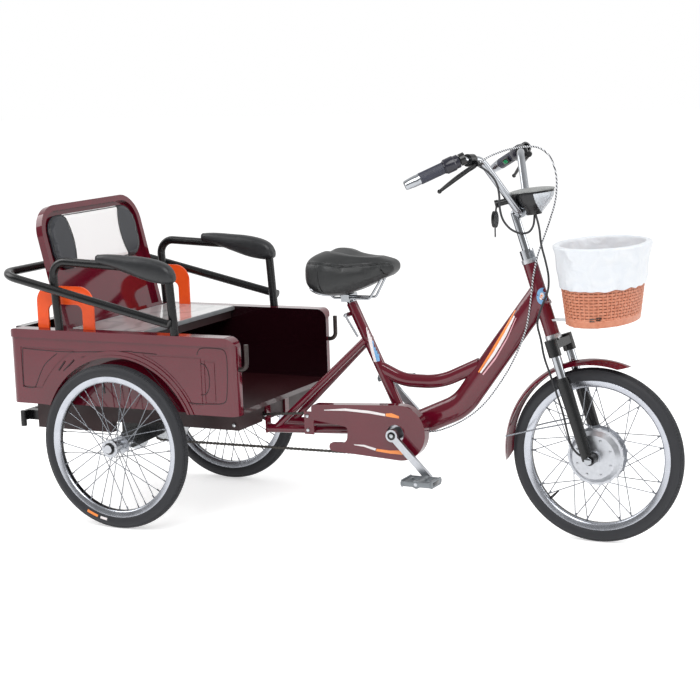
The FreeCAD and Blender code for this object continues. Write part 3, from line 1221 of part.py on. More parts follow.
main()
doc.recompute()
for thing in doc.Objects:
    if "Invalid" in thing.State or "Error" in thing.State:
        raise RuntimeError("%s failed: %s" % (thing.Name, thing.State))
os.makedirs("parts", exist_ok=True)
for name, thing in nodes.items():
    if thing.Shape.isNull() or not thing.Shape.isValid():
        raise RuntimeError("%s has no valid shape" % name)
    thing.Shape.exportStep("parts/%s.step" % name)
    limits = thing.Shape.BoundBox
    print("%-20s %8.1f %8.1f %8.1f | %8.1f %8.1f %8.1f  solids %d" % (
        name, limits.XMin, limits.YMin, limits.ZMin, limits.XMax, limits.YMax, limits.ZMax,
        len(thing.Shape.Solids)))
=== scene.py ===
import bisect
import math

import bmesh
import bpy
from mathutils import Matrix, Vector, kdtree, noise


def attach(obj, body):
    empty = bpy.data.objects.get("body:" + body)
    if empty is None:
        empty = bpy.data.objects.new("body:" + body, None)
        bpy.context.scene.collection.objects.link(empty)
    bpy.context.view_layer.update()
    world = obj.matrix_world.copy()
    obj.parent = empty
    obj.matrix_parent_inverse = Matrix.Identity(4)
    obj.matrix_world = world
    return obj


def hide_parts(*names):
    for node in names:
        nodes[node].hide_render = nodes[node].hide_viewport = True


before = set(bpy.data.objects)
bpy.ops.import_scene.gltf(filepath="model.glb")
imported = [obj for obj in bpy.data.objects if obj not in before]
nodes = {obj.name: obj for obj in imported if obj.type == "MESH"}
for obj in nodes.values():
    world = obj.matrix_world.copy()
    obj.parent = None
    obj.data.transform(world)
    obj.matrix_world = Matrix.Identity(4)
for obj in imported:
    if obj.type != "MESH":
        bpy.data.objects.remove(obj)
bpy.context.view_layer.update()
print("frame loaded")

# places that many pieces share, in metres: the axles, and half the rear track
axleX = -0.61115
frontX = 0.76385
axleZ = 0.247
trackHalf = 0.332
bothSides = ((-1, "right"), (1, "left"))


def pick(thing):
    bpy.ops.object.select_all(action="DESELECT")
    thing.select_set(True)
    bpy.context.view_layer.objects.active = thing


def freeze(thing, matrix=None):
    # moves a piece by the matrix, if any, and then into its mesh's own coordinates
    if matrix:
        thing.matrix_world = matrix
    pick(thing)
    bpy.ops.object.transform_apply(location=True, rotation=True, scale=True)


def shape(kind, name, **settings):
    # one of the basic meshes
    bpy.ops.object.select_all(action="DESELECT")
    getattr(bpy.ops.mesh, "primitive_" + kind + "_add")(**settings)
    thing = bpy.context.object
    thing.name = name
    freeze(thing)
    return thing


def modify(thing, kind, **settings):
    made = thing.modifiers.new(kind.lower(), kind)
    for key, value in settings.items():
        setattr(made, key, value)
    pick(thing)
    bpy.ops.object.modifier_apply(modifier=made.name)


def editFaces(thing, test):
    # goes into edit mode with only the faces that pass the test selected
    pick(thing)
    bpy.ops.object.mode_set(mode="EDIT")
    bpy.ops.mesh.select_mode(type="FACE")
    bpy.ops.mesh.select_all(action="DESELECT")
    mesh = bmesh.from_edit_mesh(thing.data)
    for face in mesh.faces:
        face.select_set(test(face))
    bmesh.update_edit_mesh(thing.data)


def leaveEdit():
    bpy.ops.object.mode_set(mode="OBJECT")


def shade(thing, angle=40):
    pick(thing)
    bpy.ops.object.shade_smooth_by_angle(angle=math.radians(angle))


def join(things, name):
    pick(things[0])
    for thing in things:
        thing.select_set(True)
    bpy.ops.object.join()
    things[0].name = name
    return things[0]


def newMesh(name, points, edges, faces):
    mesh = bpy.data.meshes.new(name)
    mesh.from_pydata(points, edges, faces)
    thing = bpy.data.objects.new(name, mesh)
    bpy.context.collection.objects.link(thing)
    return thing


def turnTo(way):
    return Vector(way).to_track_quat("Z", "Y").to_matrix().to_4x4()


def aimed(spot, way):
    return Matrix.Translation(spot) @ turnTo(way)


def lathe(name, profile, centre, way, steps=48, closed=True):
    # profile: (radius, distance along) pairs, spun round the line through centre
    count = len(profile)
    points = [(r, 0, along) for r, along in profile]
    edges = [(i, i + 1) for i in range(count - 1)]
    if closed:
        edges.append((count - 1, 0))
    thing = newMesh(name, points, edges, [])
    pick(thing)
    bpy.ops.object.mode_set(mode="EDIT")
    bpy.ops.mesh.select_mode(type="VERT")
    bpy.ops.mesh.select_all(action="SELECT")
    bpy.ops.mesh.spin(steps=steps, angle=2 * math.pi, center=(0, 0, 0), axis=(0, 0, 1))
    bpy.ops.mesh.select_all(action="SELECT")
    bpy.ops.mesh.remove_doubles(threshold=0.00002)
    bpy.ops.mesh.select_all(action="SELECT")
    bpy.ops.mesh.normals_make_consistent(inside=False)
    leaveEdit()
    freeze(thing, aimed(centre, way))
    return thing


def rod(name, start, end, radius, sides=12):
    start, end = Vector(start), Vector(end)
    way = end - start
    thing = shape("cylinder", name, vertices=sides, radius=radius, depth=way.length)
    freeze(thing, aimed((start + end) / 2, way))
    return thing


def tube(name, points, radius, sides=3, steps=8):
    # a smooth round bar along a NURBS line, as a mesh
    curve = bpy.data.curves.new(name, "CURVE")
    curve.dimensions = "3D"
    curve.bevel_depth = radius
    curve.bevel_resolution = sides
    curve.resolution_u = steps
    curve.use_fill_caps = True
    spline = curve.splines.new("NURBS")
    spline.points.add(len(points) - 1)
    for i, point in enumerate(points):
        spline.points[i].co = (*point, 1)
    spline.order_u = 3
    spline.use_endpoint_u = True
    thing = bpy.data.objects.new(name, curve)
    bpy.context.collection.objects.link(thing)
    pick(thing)
    bpy.ops.object.convert(target="MESH")
    shade(thing)
    return thing


def loft(name, rings, capped=True, closed=False):
    # quads between rings of as many points each, the last joined to the first if closed
    count = len(rings[0])
    points = [point for ring in rings for point in ring]
    spans = len(rings) if closed else len(rings) - 1
    faces = []
    for r in range(spans):
        low, high = r * count, (r + 1) % len(rings) * count
        for i in range(count):
            j = (i + 1) % count
            faces.append((low + i, low + j, high + j, high + i))
    if capped and not closed:
        faces.append(tuple(range(count)))
        faces.append(tuple(range((len(rings) - 1) * count, len(rings) * count)))
    thing = newMesh(name, points, [], faces)
    editFaces(thing, lambda face: True)
    bpy.ops.mesh.normals_make_consistent(inside=False)
    leaveEdit()
    return thing


def scatter(name, model, matrices):
    # copies of a model in one mesh, one at each matrix; the model itself goes
    mesh = bmesh.new()
    for matrix in matrices:
        first = len(mesh.verts)
        mesh.from_mesh(model.data)
        mesh.verts.ensure_lookup_table()
        bmesh.ops.transform(mesh, matrix=matrix, verts=mesh.verts[first:])
    thing = newMesh(name, [], [], [])
    mesh.to_mesh(thing.data)
    mesh.free()
    bpy.data.objects.remove(model)
    return thing


def slab(name, size, centre, bevel, segments=2):
    thing = shape("cube", name, size=1, location=centre, scale=size)
    modify(thing, "BEVEL", width=bevel, segments=segments, limit_method="ANGLE")
    shade(thing)
    return thing


def turns(count):
    return [2 * math.pi * i / count for i in range(count)]


def spread(start, span, count):
    return [start + span * i / count for i in range(count + 1)]


def squared(value, share):
    # a sine or cosine pushed outwards, for a section between round and square
    return math.copysign(abs(value) ** share, value)


def between(rows, share):
    # each column of a table at a share of the way, on a smooth line through its rows
    at = next((i for i in range(len(rows) - 1) if share <= rows[i + 1][0]), len(rows) - 2)
    a, b = rows[at], rows[at + 1]
    before, after = rows[max(at - 1, 0)], rows[min(at + 2, len(rows) - 1)]
    span = b[0] - a[0]
    t = (share - a[0]) / span
    values = []
    for k in range(1, len(a)):
        leave = (b[k] - before[k]) / (b[0] - before[0]) * span
        reach = (after[k] - a[k]) / (after[0] - a[0]) * span
        values.append(a[k] * (2 * t ** 3 - 3 * t ** 2 + 1) + leave * (t ** 3 - 2 * t ** 2 + t)
                      + b[k] * (3 * t ** 2 - 2 * t ** 3) + reach * (t ** 3 - t ** 2))
    return values


def stuff(thing, voxel, pressure, cap):
    # fills a cover until it is tight: cloth under pressure, no point moving more than cap
    modify(thing, "REMESH", mode="VOXEL", voxel_size=voxel)
    before = [vertex.co.copy() for vertex in thing.data.vertices]
    cloth = thing.modifiers.new("cloth", "CLOTH")
    cloth.settings.use_pressure = True
    cloth.settings.uniform_pressure_force = pressure
    cloth.settings.effector_weights.gravity = 0
    for step in range(1, 21):
        bpy.context.scene.frame_set(step)
    pick(thing)
    bpy.ops.object.modifier_apply(modifier="cloth")
    bpy.context.scene.frame_set(1)
    for vertex, spot in zip(thing.data.vertices, before):
        move = vertex.co - spot
        if move.length > cap:
            vertex.co = spot + move.normalized() * cap
    modify(thing, "SUBSURF", levels=1)
    thing.data.update()


def onto(thing, points):
    # the nearest spots on a piece
    return [thing.closest_point_on_mesh(Vector(point))[1] for point in points]


def crease(thing, lines, width, depth):
    # presses a sewn channel along each line of points
    spots = []
    for line in lines:
        for a, b in zip(line, line[1:]):
            a, b = Vector(a), Vector(b)
            count = max(1, int((b - a).length / 0.002))
            spots += [a.lerp(b, i / count) for i in range(count)]
    tree = kdtree.KDTree(len(spots))
    for i, spot in enumerate(spots):
        tree.insert(spot, i)
    tree.balance()
    moves = []
    for vertex in thing.data.vertices:
        far = tree.find(vertex.co)[2]
        if far < width:
            moves.append((vertex, vertex.normal * depth * (1 - (far / width) ** 2) ** 2))
    for vertex, move in moves:
        vertex.co -= move


def sticker(name, low, high, side, target, steps=10, second=None):
    # a printed film between two lines of (x, z) points, laid on the target from y = side
    points, faces = [], []

    def along(line, share):
        place = share * (len(line) - 1)
        i = min(int(place), len(line) - 2)
        return [line[i][k] + (line[i + 1][k] - line[i][k]) * (place - i) for k in (0, 1)]
    count = steps * (len(low) - 1)
    across = 4
    for i in range(count + 1):
        a, b = along(low, i / count), along(high, i / count)
        for j in range(across + 1):
            x, z = (a[k] + (b[k] - a[k]) * j / across for k in (0, 1))
            points.append((x, side, z))
    for i in range(count):
        for j in range(across):
            first = i * (across + 1) + j
            faces.append((first, first + across + 1, first + across + 2, first + 1))
    thing = newMesh(name, points, [], faces)
    modify(thing, "SHRINKWRAP", target=target, wrap_method="PROJECT", use_project_y=True,
           use_project_z=False, use_positive_direction=side < 0,
           use_negative_direction=side > 0, offset=0.0004, auxiliary_target=second)
    # what lies past the target's edge is trimmed off
    mesh = bmesh.new()
    mesh.from_mesh(thing.data)
    missed = [vertex for vertex in mesh.verts if abs(vertex.co.y - side) < 0.00001]
    bmesh.ops.delete(mesh, geom=missed, context="VERTS")
    mesh.to_mesh(thing.data)
    mesh.free()
    modify(thing, "SOLIDIFY", thickness=0.0002, offset=0)
    shade(thing)
    return thing


def dress(thing, material):
    thing.data.materials.clear()
    thing.data.materials.append(material)


def place(thing, look, body, slot, replaced=(), angle=0):
    # gives a piece its finish and body, and shades it smooth below the angle, if any
    if angle:
        shade(thing, angle)
    if look:
        dress(thing, finish[look])
    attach(thing, body)
    if replaced:
        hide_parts(*replaced)


def linear(hexText):
    parts = [int(hexText[i:i + 2], 16) / 255 for i in (0, 2, 4)]
    return tuple(c / 12.92 if c <= 0.04045 else ((c + 0.055) / 1.055) ** 2.4
                 for c in parts) + (1,)


def addNode(tree, kind, settings=None, links=None):
    made = tree.nodes.new("ShaderNode" + kind)
    for key, value in (settings or {}).items():
        if isinstance(key, str) and hasattr(made, key):
            setattr(made, key, value)
        else:
            made.inputs[key].default_value = value
    for key, source in (links or {}).items():
        tree.links.new(source, made.inputs[key])
    return made


def openMaterial(name):
    material = bpy.data.materials.new(name)
    material.use_nodes = True
    tree = material.node_tree
    spot = addNode(tree, "TexCoord").outputs["Object"]
    return material, tree, tree.nodes["Principled BSDF"], spot


def makeFinish(name, dark, light, patch, rough, grain, depth, sockets=(), cells=False):
    # two near colours in patches, uneven gloss and a fine grain in the surface
    material, tree, shader, spot = openMaterial(name)
    patches = addNode(tree, "TexNoise", {"Scale": 1 / patch, "Detail": 4.0},
                      {"Vector": spot}).outputs["Fac"]
    colour = addNode(tree, "Mix", {"data_type": "RGBA", 6: linear(dark), 7: linear(light)},
                     {0: patches}).outputs[2]
    tree.links.new(colour, shader.inputs["Base Color"])
    gloss = addNode(tree, "MapRange", {3: rough[0], 4: rough[1]}, {0: patches}).outputs[0]
    tree.links.new(gloss, shader.inputs["Roughness"])
    if cells:
        relief = addNode(tree, "TexVoronoi", {"Scale": 1 / grain},
                         {"Vector": spot}).outputs["Distance"]
    else:
        relief = addNode(tree, "TexNoise", {"Scale": 1 / grain, "Detail": 3.0},
                         {"Vector": spot}).outputs["Fac"]
    bump = addNode(tree, "Bump", {"Strength": depth, "Distance": grain / 5},
                   {"Height": relief}).outputs[0]
    tree.links.new(bump, shader.inputs["Normal"])
    for key in sockets:
        shader.inputs[key].default_value = sockets[key]
    return material, tree, shader, spot


def tint(tree, shader, mask, colour, socket):
    # a second colour where the mask is 1 (socket 7) or 0 (socket 6)
    before = shader.inputs["Base Color"].links[0].from_socket
    both = addNode(tree, "Mix", {"data_type": "RGBA", socket: linear(colour)},
                   {0: mask, 13 - socket: before}).outputs[2]
    tree.links.new(both, shader.inputs["Base Color"])


# each: two near colours, size of their patches, roughness from and to, size of the grain,
# depth of the grain, sockets that are the same all over, hide-like grain or not
looks = {
    # stove enamel, sprayed: deep wine with a clear gloss and faint orange peel
    "wineEnamel": ("500818", "640d22", 0.12, (0.05, 0.12), 0.004, 0.02,
                   {"Coat Weight": 0.25, "Coat Roughness": 0.04}),
    # rubber sheath of the wires
    "rubberSheath": ("1c1d20", "2b2c30", 0.02, (0.4, 0.55), 0.001, 0.1),
    # drawn stainless wire
    "wireSteel": ("6c6f75", "92959b", 0.004, (0.2, 0.34), 0.0008, 0.05, {"Metallic": 1.0}),
    # printed films
    "stickerOrange": ("e8732c", "f7a35c", 0.02, (0.2, 0.3), 0.002, 0.02),
    "stickerWhite": ("d9cfd0", "f0ecec", 0.02, (0.2, 0.3), 0.002, 0.02),
    "stickerPink": ("c98793", "e3b3ba", 0.02, (0.2, 0.3), 0.002, 0.02),
    "stickerBlue": ("5b93c4", "8ab9df", 0.02, (0.2, 0.3), 0.002, 0.02),
    # cane that lies behind the weave, darker: painted shade in the gaps of the weave
    "caneShade": ("7f4128", "a3603f", 0.02, (0.5, 0.65), 0.002, 0.2),
    # pressed lines, filled with shade
    "grooveEnamel": ("1f050c", "300813", 0.05, (0.3, 0.4), 0.003, 0.05),
    # plated steel of the latches, gone dull
    "dullSteel": ("2d2827", "514a48", 0.01, (0.3, 0.45), 0.001, 0.1, {"Metallic": 0.8}),
    # dark plastic panes of the pedals, and the lit display
    "smokedLens": ("24272b", "3a3f44", 0.01, (0.15, 0.25), 0.002, 0.1),
    "greenPane": ("0f6a41", "23a667", 0.004, (0.15, 0.25), 0.001, 0.02),
    # glossy moulded collar of the grip
    "gripCollar": ("16161f", "232331", 0.02, (0.16, 0.26), 0.001, 0.04),
    # the same enamel in the shade of the box, thinner and duller
    "shadedEnamel": ("24060b", "33090f", 0.1, (0.3, 0.42), 0.004, 0.05, {"Coat Weight": 0.5}),
    # brown-black underseal on the chassis
    "undersealBrown": ("1f0e10", "34191b", 0.05, (0.4, 0.6), 0.003, 0.1),
    # powder-coated black steel tube: satin, slightly pebbled
    "blackPowder": ("0a0b0c", "131416", 0.04, (0.22, 0.32), 0.0015, 0.06,
                    {"Specular IOR Level": 0.4}),
    # expanded foam sleeve: dull with fine pores
    "foamSleeve": ("121316", "202225", 0.02, (0.34, 0.5), 0.0012, 0.3),
    # bright chromium plate
    "chromePlate": ("92959a", "b2b5b9", 0.05, (0.05, 0.13), 0.01, 0.01, {"Metallic": 1.0}),
    # rolled and anodised aluminium rim
    "anodisedAlloy": ("a3a6ae", "c0c3ca", 0.03, (0.2, 0.32), 0.0008, 0.05, {"Metallic": 1.0}),
    # cast and lightly blasted aluminium
    "castAlloy": ("a6a9ae", "c8cacf", 0.01, (0.28, 0.42), 0.0009, 0.12, {"Metallic": 1.0}),
    # zinc-plated steel wire and screws
    "zincSteel": ("a9acb0", "cfd1d4", 0.006, (0.22, 0.36), 0.0008, 0.05, {"Metallic": 1.0}),
    # oiled chain steel
    "oiledSteel": ("2a2826", "5b5855", 0.004, (0.3, 0.5), 0.001, 0.1, {"Metallic": 0.9}),
    # tyre rubber, a little dusty
    "tyreRubber": ("191a1e", "27282d", 0.03, (0.55, 0.72), 0.001, 0.18),
    # moulded ABS housing
    "blackAbs": ("08090b", "101114", 0.02, (0.18, 0.3), 0.001, 0.05),
    # grey lid of the lamp, moulded with a spark finish
    "greyAbs": ("7b7d7c", "929493", 0.02, (0.35, 0.5), 0.0008, 0.1),
    # blue-black thermoplastic rubber of the grip
    "gripRubber": ("20222e", "303344", 0.02, (0.35, 0.5), 0.001, 0.12),
    # saddle and pad vinyl with a leather emboss
    "blackVinyl": ("151617", "232526", 0.05, (0.36, 0.5), 0.0016, 0.22, {}, True),
    "slateVinyl": ("1b1d22", "282a31", 0.05, (0.32, 0.44), 0.0016, 0.12, {}, True),
    # orange stove enamel
    "orangeEnamel": ("ea4c16", "fb6229", 0.05, (0.25, 0.36), 0.003, 0.04,
                     {"Specular IOR Level": 0.4}),
    # moulded polypropylene of the basket, orange-brown
    "caneBrown": ("b05f3c", "d8967a", 0.012, (0.38, 0.52), 0.0012, 0.15),
    # grey edge trim of the seat board, extruded PVC
    "edgeTrim": ("6b6d70", "87898c", 0.03, (0.35, 0.5), 0.001, 0.1),
    # grey-painted pedal body, pressed steel
    "pedalGrey": ("6c7175", "8b9094", 0.01, (0.35, 0.5), 0.001, 0.1, {"Metallic": 0.5}),
}
finish = {name: makeFinish(name, *look)[0] for name, look in looks.items()}


def makeBoard():
    # printed marble laminate: pale grey with soft darker veins, glossy
    material, tree, shader, spot = makeFinish(
        "marbleLaminate", "b9babc", "e3e2e1", 0.09, (0.1, 0.18), 0.01, 0.01,
        {"Coat Weight": 0.5})
    veins = addNode(tree, "TexWave", {"Scale": 3.5, "Distortion": 12.0, "Detail": 4.0,
                                      "Detail Scale": 1.2}, {"Vector": spot}).outputs["Fac"]
    edge = addNode(tree, "ValToRGB", {}, {0: veins})
    edge.color_ramp.elements[0].color = linear("8f9298")
    edge.color_ramp.elements[1].position = 0.35
    edge.color_ramp.elements[1].color = (1, 1, 1, 1)
    before = shader.inputs["Base Color"].links[0].from_socket
    both = addNode(tree, "Mix", {"data_type": "RGBA", "blend_type": "MULTIPLY", 0: 0.32},
                   {6: before, 7: edge.outputs[0]}).outputs[2]
    tree.links.new(both, shader.inputs["Base Color"])
    return material


def makeLens():
    # clear polycarbonate, ribbed inside
    material, tree, shader, spot = openMaterial("clearPolycarbonate")
    ribs = addNode(tree, "TexWave", {"bands_direction": "Y", "Scale": 60.0},
                   {"Vector": spot}).outputs["Fac"]
    bump = addNode(tree, "Bump", {"Strength": 0.15, "Distance": 0.0008},
                   {"Height": ribs}).outputs[0]
    tree.links.new(bump, shader.inputs["Normal"])
    for key, value in {"Base Color": linear("e9eff5"), "Roughness": 0.08, "IOR": 1.585,
                       "Transmission Weight": 0.35}.items():
        shader.inputs[key].default_value = value
    return material


def makeFilm():
    # milky polythene wrap, thin enough to see a little through
    material, tree, shader, spot = openMaterial("milkyFilm")
    folds = addNode(tree, "TexNoise", {"Scale": 18.0, "Detail": 3.0, "Distortion": 1.5},
                    {"Vector": spot}).outputs["Fac"]
    bump = addNode(tree, "Bump", {"Strength": 0.5, "Distance": 0.01},
                   {"Height": folds}).outputs[0]
    tree.links.new(bump, shader.inputs["Normal"])
    tone = addNode(tree, "Mix", {"data_type": "RGBA", 6: linear("e3e9f1"),
                                 7: linear("f7f9fb")}, {0: folds}).outputs[2]
    tree.links.new(tone, shader.inputs["Base Color"])
    shader.inputs["Roughness"].default_value = 0.3
    shader.inputs["Transmission Weight"].default_value = 0.2
    return material


def makeBraid():
    # steel braid under a clear sleeve: dark and pale bands wound round the cable
    material, tree, shader, spot = makeFinish(
        "braidSheath", "c4c6ca", "dfe1e4", 0.01, (0.25, 0.38), 0.001, 0.1, {"Metallic": 0.3})
    bands = addNode(tree, "TexWave", {"wave_type": "BANDS", "bands_direction": "DIAGONAL",
                                      "Scale": 66.0, "Distortion": 0.6},
                    {"Vector": spot}).outputs["Fac"]
    mask = addNode(tree, "MapRange", {1: 0.45, 2: 0.6}, {0: bands}).outputs[0]
    tint(tree, shader, mask, "26282c", 7)
    return material


def makePanelEnamel():
    # the box's enamel, dark on the walls' inner faces, which no light reaches
    material, tree, shader, spot = makeFinish("boxEnamel", *looks["wineEnamel"])
    parts = addNode(tree, "SeparateXYZ", {}, {0: spot}).outputs
    across = addNode(tree, "Math", {"operation": "ABSOLUTE"}, {0: parts[1]}).outputs[0]
    wall = nodes["box_rear_wall"]
    rear = min((wall.matrix_world @ vertex.co).x for vertex in wall.data.vertices)
    beside = addNode(tree, "MapRange", {1: 0.2688, 2: 0.2696}, {0: across}).outputs[0]
    behind = addNode(tree, "MapRange", {1: rear + 0.0008, 2: rear + 0.0016, 3: 1.0, 4: 0.0},
                     {0: parts[0]}).outputs[0]
    mask = addNode(tree, "Math", {"operation": "MAXIMUM"}, {0: beside, 1: behind}).outputs[0]
    tint(tree, shader, mask, "1a060b", 6)
    return material


centreSet = {"narrow": 0.128, "flare": 0.026, "middle": 0.8325, "half": 0.092}


def makePadVinyl():
    # black sides and a white centre, whose edges bow in
    material, tree, shader, spot = makeFinish("padVinyl", *looks["slateVinyl"])
    parts = addNode(tree, "SeparateXYZ", {}, {0: spot}).outputs
    across = addNode(tree, "Math", {"operation": "ABSOLUTE"}, {0: parts[1]}).outputs[0]
    up = addNode(tree, "MapRange", {"clamp": False, 1: centreSet["middle"],
                                    2: centreSet["middle"] + centreSet["half"]},
                 {0: parts[2]}).outputs[0]
    bow = addNode(tree, "Math", {"operation": "MULTIPLY"}, {0: up, 1: up}).outputs[0]
    edge = addNode(tree, "Math", {"operation": "MULTIPLY_ADD", 1: centreSet["flare"],
                                  2: centreSet["narrow"]}, {0: bow}).outputs[0]
    past = addNode(tree, "Math", {"operation": "SUBTRACT"}, {0: across, 1: edge}).outputs[0]
    mask = addNode(tree, "MapRange", {1: -0.0004, 2: 0.0004}, {0: past}).outputs[0]
    tint(tree, shader, mask, "eceaea", 6)
    return material


finish["braidSheath"] = makeBraid()
finish["boxEnamel"] = makePanelEnamel()
finish["marbleLaminate"] = makeBoard()
finish["clearPolycarbonate"] = makeLens()
finish["milkyFilm"] = makeFilm()
finish["padVinyl"] = makePadVinyl()

# the CAD pieces that show as they are
nodeFinish = {
    "wineEnamel": ["head_tube", "seat_tube", "down_tube", "step_tube", "rear_stays",
                   "chain_guard", "backrest_frame", "front_fender"],
    "boxEnamel": ["box_rear_wall", "box_side_left", "box_side_right"],
    "shadedEnamel": ["box_floor"],
    "undersealBrown": ["chassis", "seat_bearers"],
    "blackPowder": ["tail_bar", "axle_brackets", "armrest_tubes", "fork_crown", "fork_legs",
                    "brake_levers", "key_switch"],
    "rubberSheath": ["steering_wires"],
    "braidSheath": ["lever_cable", "rear_brake_cable"],
    "wireSteel": ["right_wheel_spokes", "left_wheel_spokes", "front_spokes", "fender_stays"],
    "chromePlate": ["fork_stanchions", "stem", "handlebar", "seat_post"],
    "castAlloy": ["front_hub_motor", "crankset", "right_wheel_hub", "left_wheel_hub"],
    "zincSteel": ["front_axle", "headset_cups", "basket_bracket", "rear_axle"],
    "dullSteel": ["gate_latches"],
    "orangeEnamel": ["grab_handles"],
    "marbleLaminate": ["seat_board"],
    "blackAbs": ["headlamp"],
    "clearPolycarbonate": ["headlamp_lens"],
}
for finishName, names in nodeFinish.items():
    for name in names:
        dress(nodes[name], finish[finishName])
print("materials made")


cameraSet = {"lens": 91.13, "spot": (2.30335, -4.5978, 1.376), "azimuth": 26.5444,
             "elevation": 9.578, "roll": -1.9181}


def addCamera():
    azimuth, elevation, roll = (math.radians(cameraSet[key])
                                for key in ("azimuth", "elevation", "roll"))
    back = Vector((math.sin(azimuth) * math.cos(elevation),
                   -math.cos(azimuth) * math.cos(elevation), math.sin(elevation)))
    right = Vector((math.cos(azimuth), math.sin(azimuth), 0))
    up = back.cross(right)
    side = right * math.cos(roll) + up * math.sin(roll)
    top = up * math.cos(roll) - right * math.sin(roll)
    data = bpy.data.cameras.new("camera")
    data.lens = cameraSet["lens"]
    data.sensor_width = 36
    data.clip_end = 100
    camera = bpy.data.objects.new("camera", data)
    camera.matrix_world = Matrix.Translation(cameraSet["spot"]) @ Matrix(
        (side, top, back)).transposed().to_4x4()
    bpy.context.collection.objects.link(camera)
    bpy.context.scene.camera = camera


lampSet = {"key": ((1.5, -3.5, 4.0), 3.0, 150), "fill": ((4.0, 1.5, 2.5), 2.5, 60),
           "rear": ((-3.5, -1.0, 3.0), 2.5, 70)}
skyStrength = 0.62


def addLight():
    for name, (spot, size, power) in lampSet.items():
        data = bpy.data.lights.new(name, "AREA")
        data.size = size
        data.energy = power
        lamp = bpy.data.objects.new(name, data)
        lamp.matrix_world = aimed(spot, Vector(spot) - Vector((0, 0, 0.5)))
        bpy.context.collection.objects.link(lamp)
    world = bpy.data.worlds.new("studio")
    bpy.context.scene.world = world
    world.use_nodes = True
    tree = world.node_tree
    sky = tree.nodes["Background"]
    paths = addNode(tree, "LightPath")
    seen = addNode(tree, "Math", {"operation": "MAXIMUM"},
                   {0: paths.outputs["Is Camera Ray"], 1: paths.outputs["Is Transmission Ray"]})
    way = addNode(tree, "SeparateXYZ", {}, {0: addNode(tree, "TexCoord").outputs["Generated"]})
    wall = addNode(tree, "MapRange", {1: -0.75, 2: 0.35, 3: 0.3, 4: 1.0},
                   {0: way.outputs[1]}).outputs[0]
    mirrored = addNode(tree, "Mix", {2: skyStrength},
                       {0: paths.outputs["Is Glossy Ray"], 3: wall}).outputs[0]
    strength = addNode(tree, "Mix", {3: 1.0}, {0: seen.outputs[0], 2: mirrored})
    sky.inputs["Color"].default_value = (1, 1, 1, 1)
    tree.links.new(strength.outputs[0], sky.inputs["Strength"])


def addFloor():
    floor = shape("plane", "floor", size=60)
    material, tree, shader = openMaterial("paleFloor")[:3]
    for key, value in {"Base Color": (0.9, 0.9, 0.9, 1), "Roughness": 0.9,
                       "Specular IOR Level": 0.0, "Emission Color": (1, 1, 1, 1)}.items():
        shader.inputs[key].default_value = value
    paths = addNode(tree, "LightPath")
    seen = addNode(tree, "Math", {"operation": "MAXIMUM"},
                   {0: paths.outputs["Is Camera Ray"], 1: paths.outputs["Is Glossy Ray"]})
    glow = addNode(tree, "MapRange", {3: 0.0, 4: 0.5}, {0: seen.outputs[0]})
    tree.links.new(glow.outputs[0], shader.inputs["Emission Strength"])
    dress(floor, material)


addCamera()
addLight()
addFloor()
bpy.context.scene.view_settings.view_transform = "Standard"
print("camera and light placed")


tyreSet = {"ring": 0.2257, "section": 0.0198, "around": 168, "across": 24,
           "treadFrom": 0.2405, "groove": 0.0007, "knob": 0.0015}


def makeTyre(name, body, centre):
    tyre = shape("torus", name + "_tread", location=centre, rotation=(math.pi / 2, 0, 0),
                 major_segments=tyreSet["around"], minor_segments=tyreSet["across"],
                 major_radius=tyreSet["ring"], minor_radius=tyreSet["section"])
    hub = Vector(centre)

    def radial(face):
        spot = face.calc_center_median() - hub
        return math.hypot(spot.x, spot.z) > tyreSet["treadFrom"]
    editFaces(tyre, radial)
    bpy.ops.mesh.inset(use_individual=True, thickness=tyreSet["groove"], depth=tyreSet["knob"])
    leaveEdit()
    place(tyre, "tyreRubber", body, "tyre", [name], 35)


rimSet = {"outer": 0.2135, "inner": 0.1925, "half": 0.014, "lip": 0.002}


def makeRim(name, body, centre):
    outer, inner, half, lip = (rimSet[key] for key in ("outer", "inner", "half", "lip"))
    profile = [(outer, -half), (outer, -half + lip), (outer - 3 * lip, -half + 2 * lip),
               (outer - 3 * lip, half - 2 * lip), (outer, half - lip), (outer, half),
               (outer - lip, half + 0.4 * lip), (inner + 3 * lip, half - 0.6 * lip),
               (inner + lip, half - 2 * lip), (inner, half - 4 * lip),
               (inner, -half + 4 * lip), (inner + lip, -half + 2 * lip),
               (inner + 3 * lip, -half + 0.6 * lip), (outer - lip, -half - 0.4 * lip)]
    rim = lathe(name + "_hoop", profile, centre, (0, 1, 0), 96)
    rim.data.materials.append(finish["anodisedAlloy"])
    rim.data.materials.append(finish["blackAbs"])
    hub = Vector(centre)
    for face in rim.data.polygons:
        spot = face.center - hub
        if math.hypot(spot.x, spot.z) < inner + 0.2 * lip:
            face.material_index = 1
    place(rim, None, body, "alloy", [name], 30)


valveSet = {"from": 0.193, "radius": 0.0036, "long": 0.033}


def makeValve(name, body, centre, angle):
    way = Vector((math.cos(math.radians(angle)), 0, math.sin(math.radians(angle))))
    hub = Vector(centre)
    radius, long = valveSet["radius"], valveSet["long"]
    profile = [(0.0001, 0), (radius, 0), (radius, long - 0.015), (0.0026, long - 0.013),
               (0.0026, long - 0.001), (0.0018, long), (0.0001, long)]
    valve = lathe(name + "_valve", profile, hub + way * valveSet["from"], -way, 16, False)
    place(valve, "blackAbs", body, "black_plastic", angle=40)


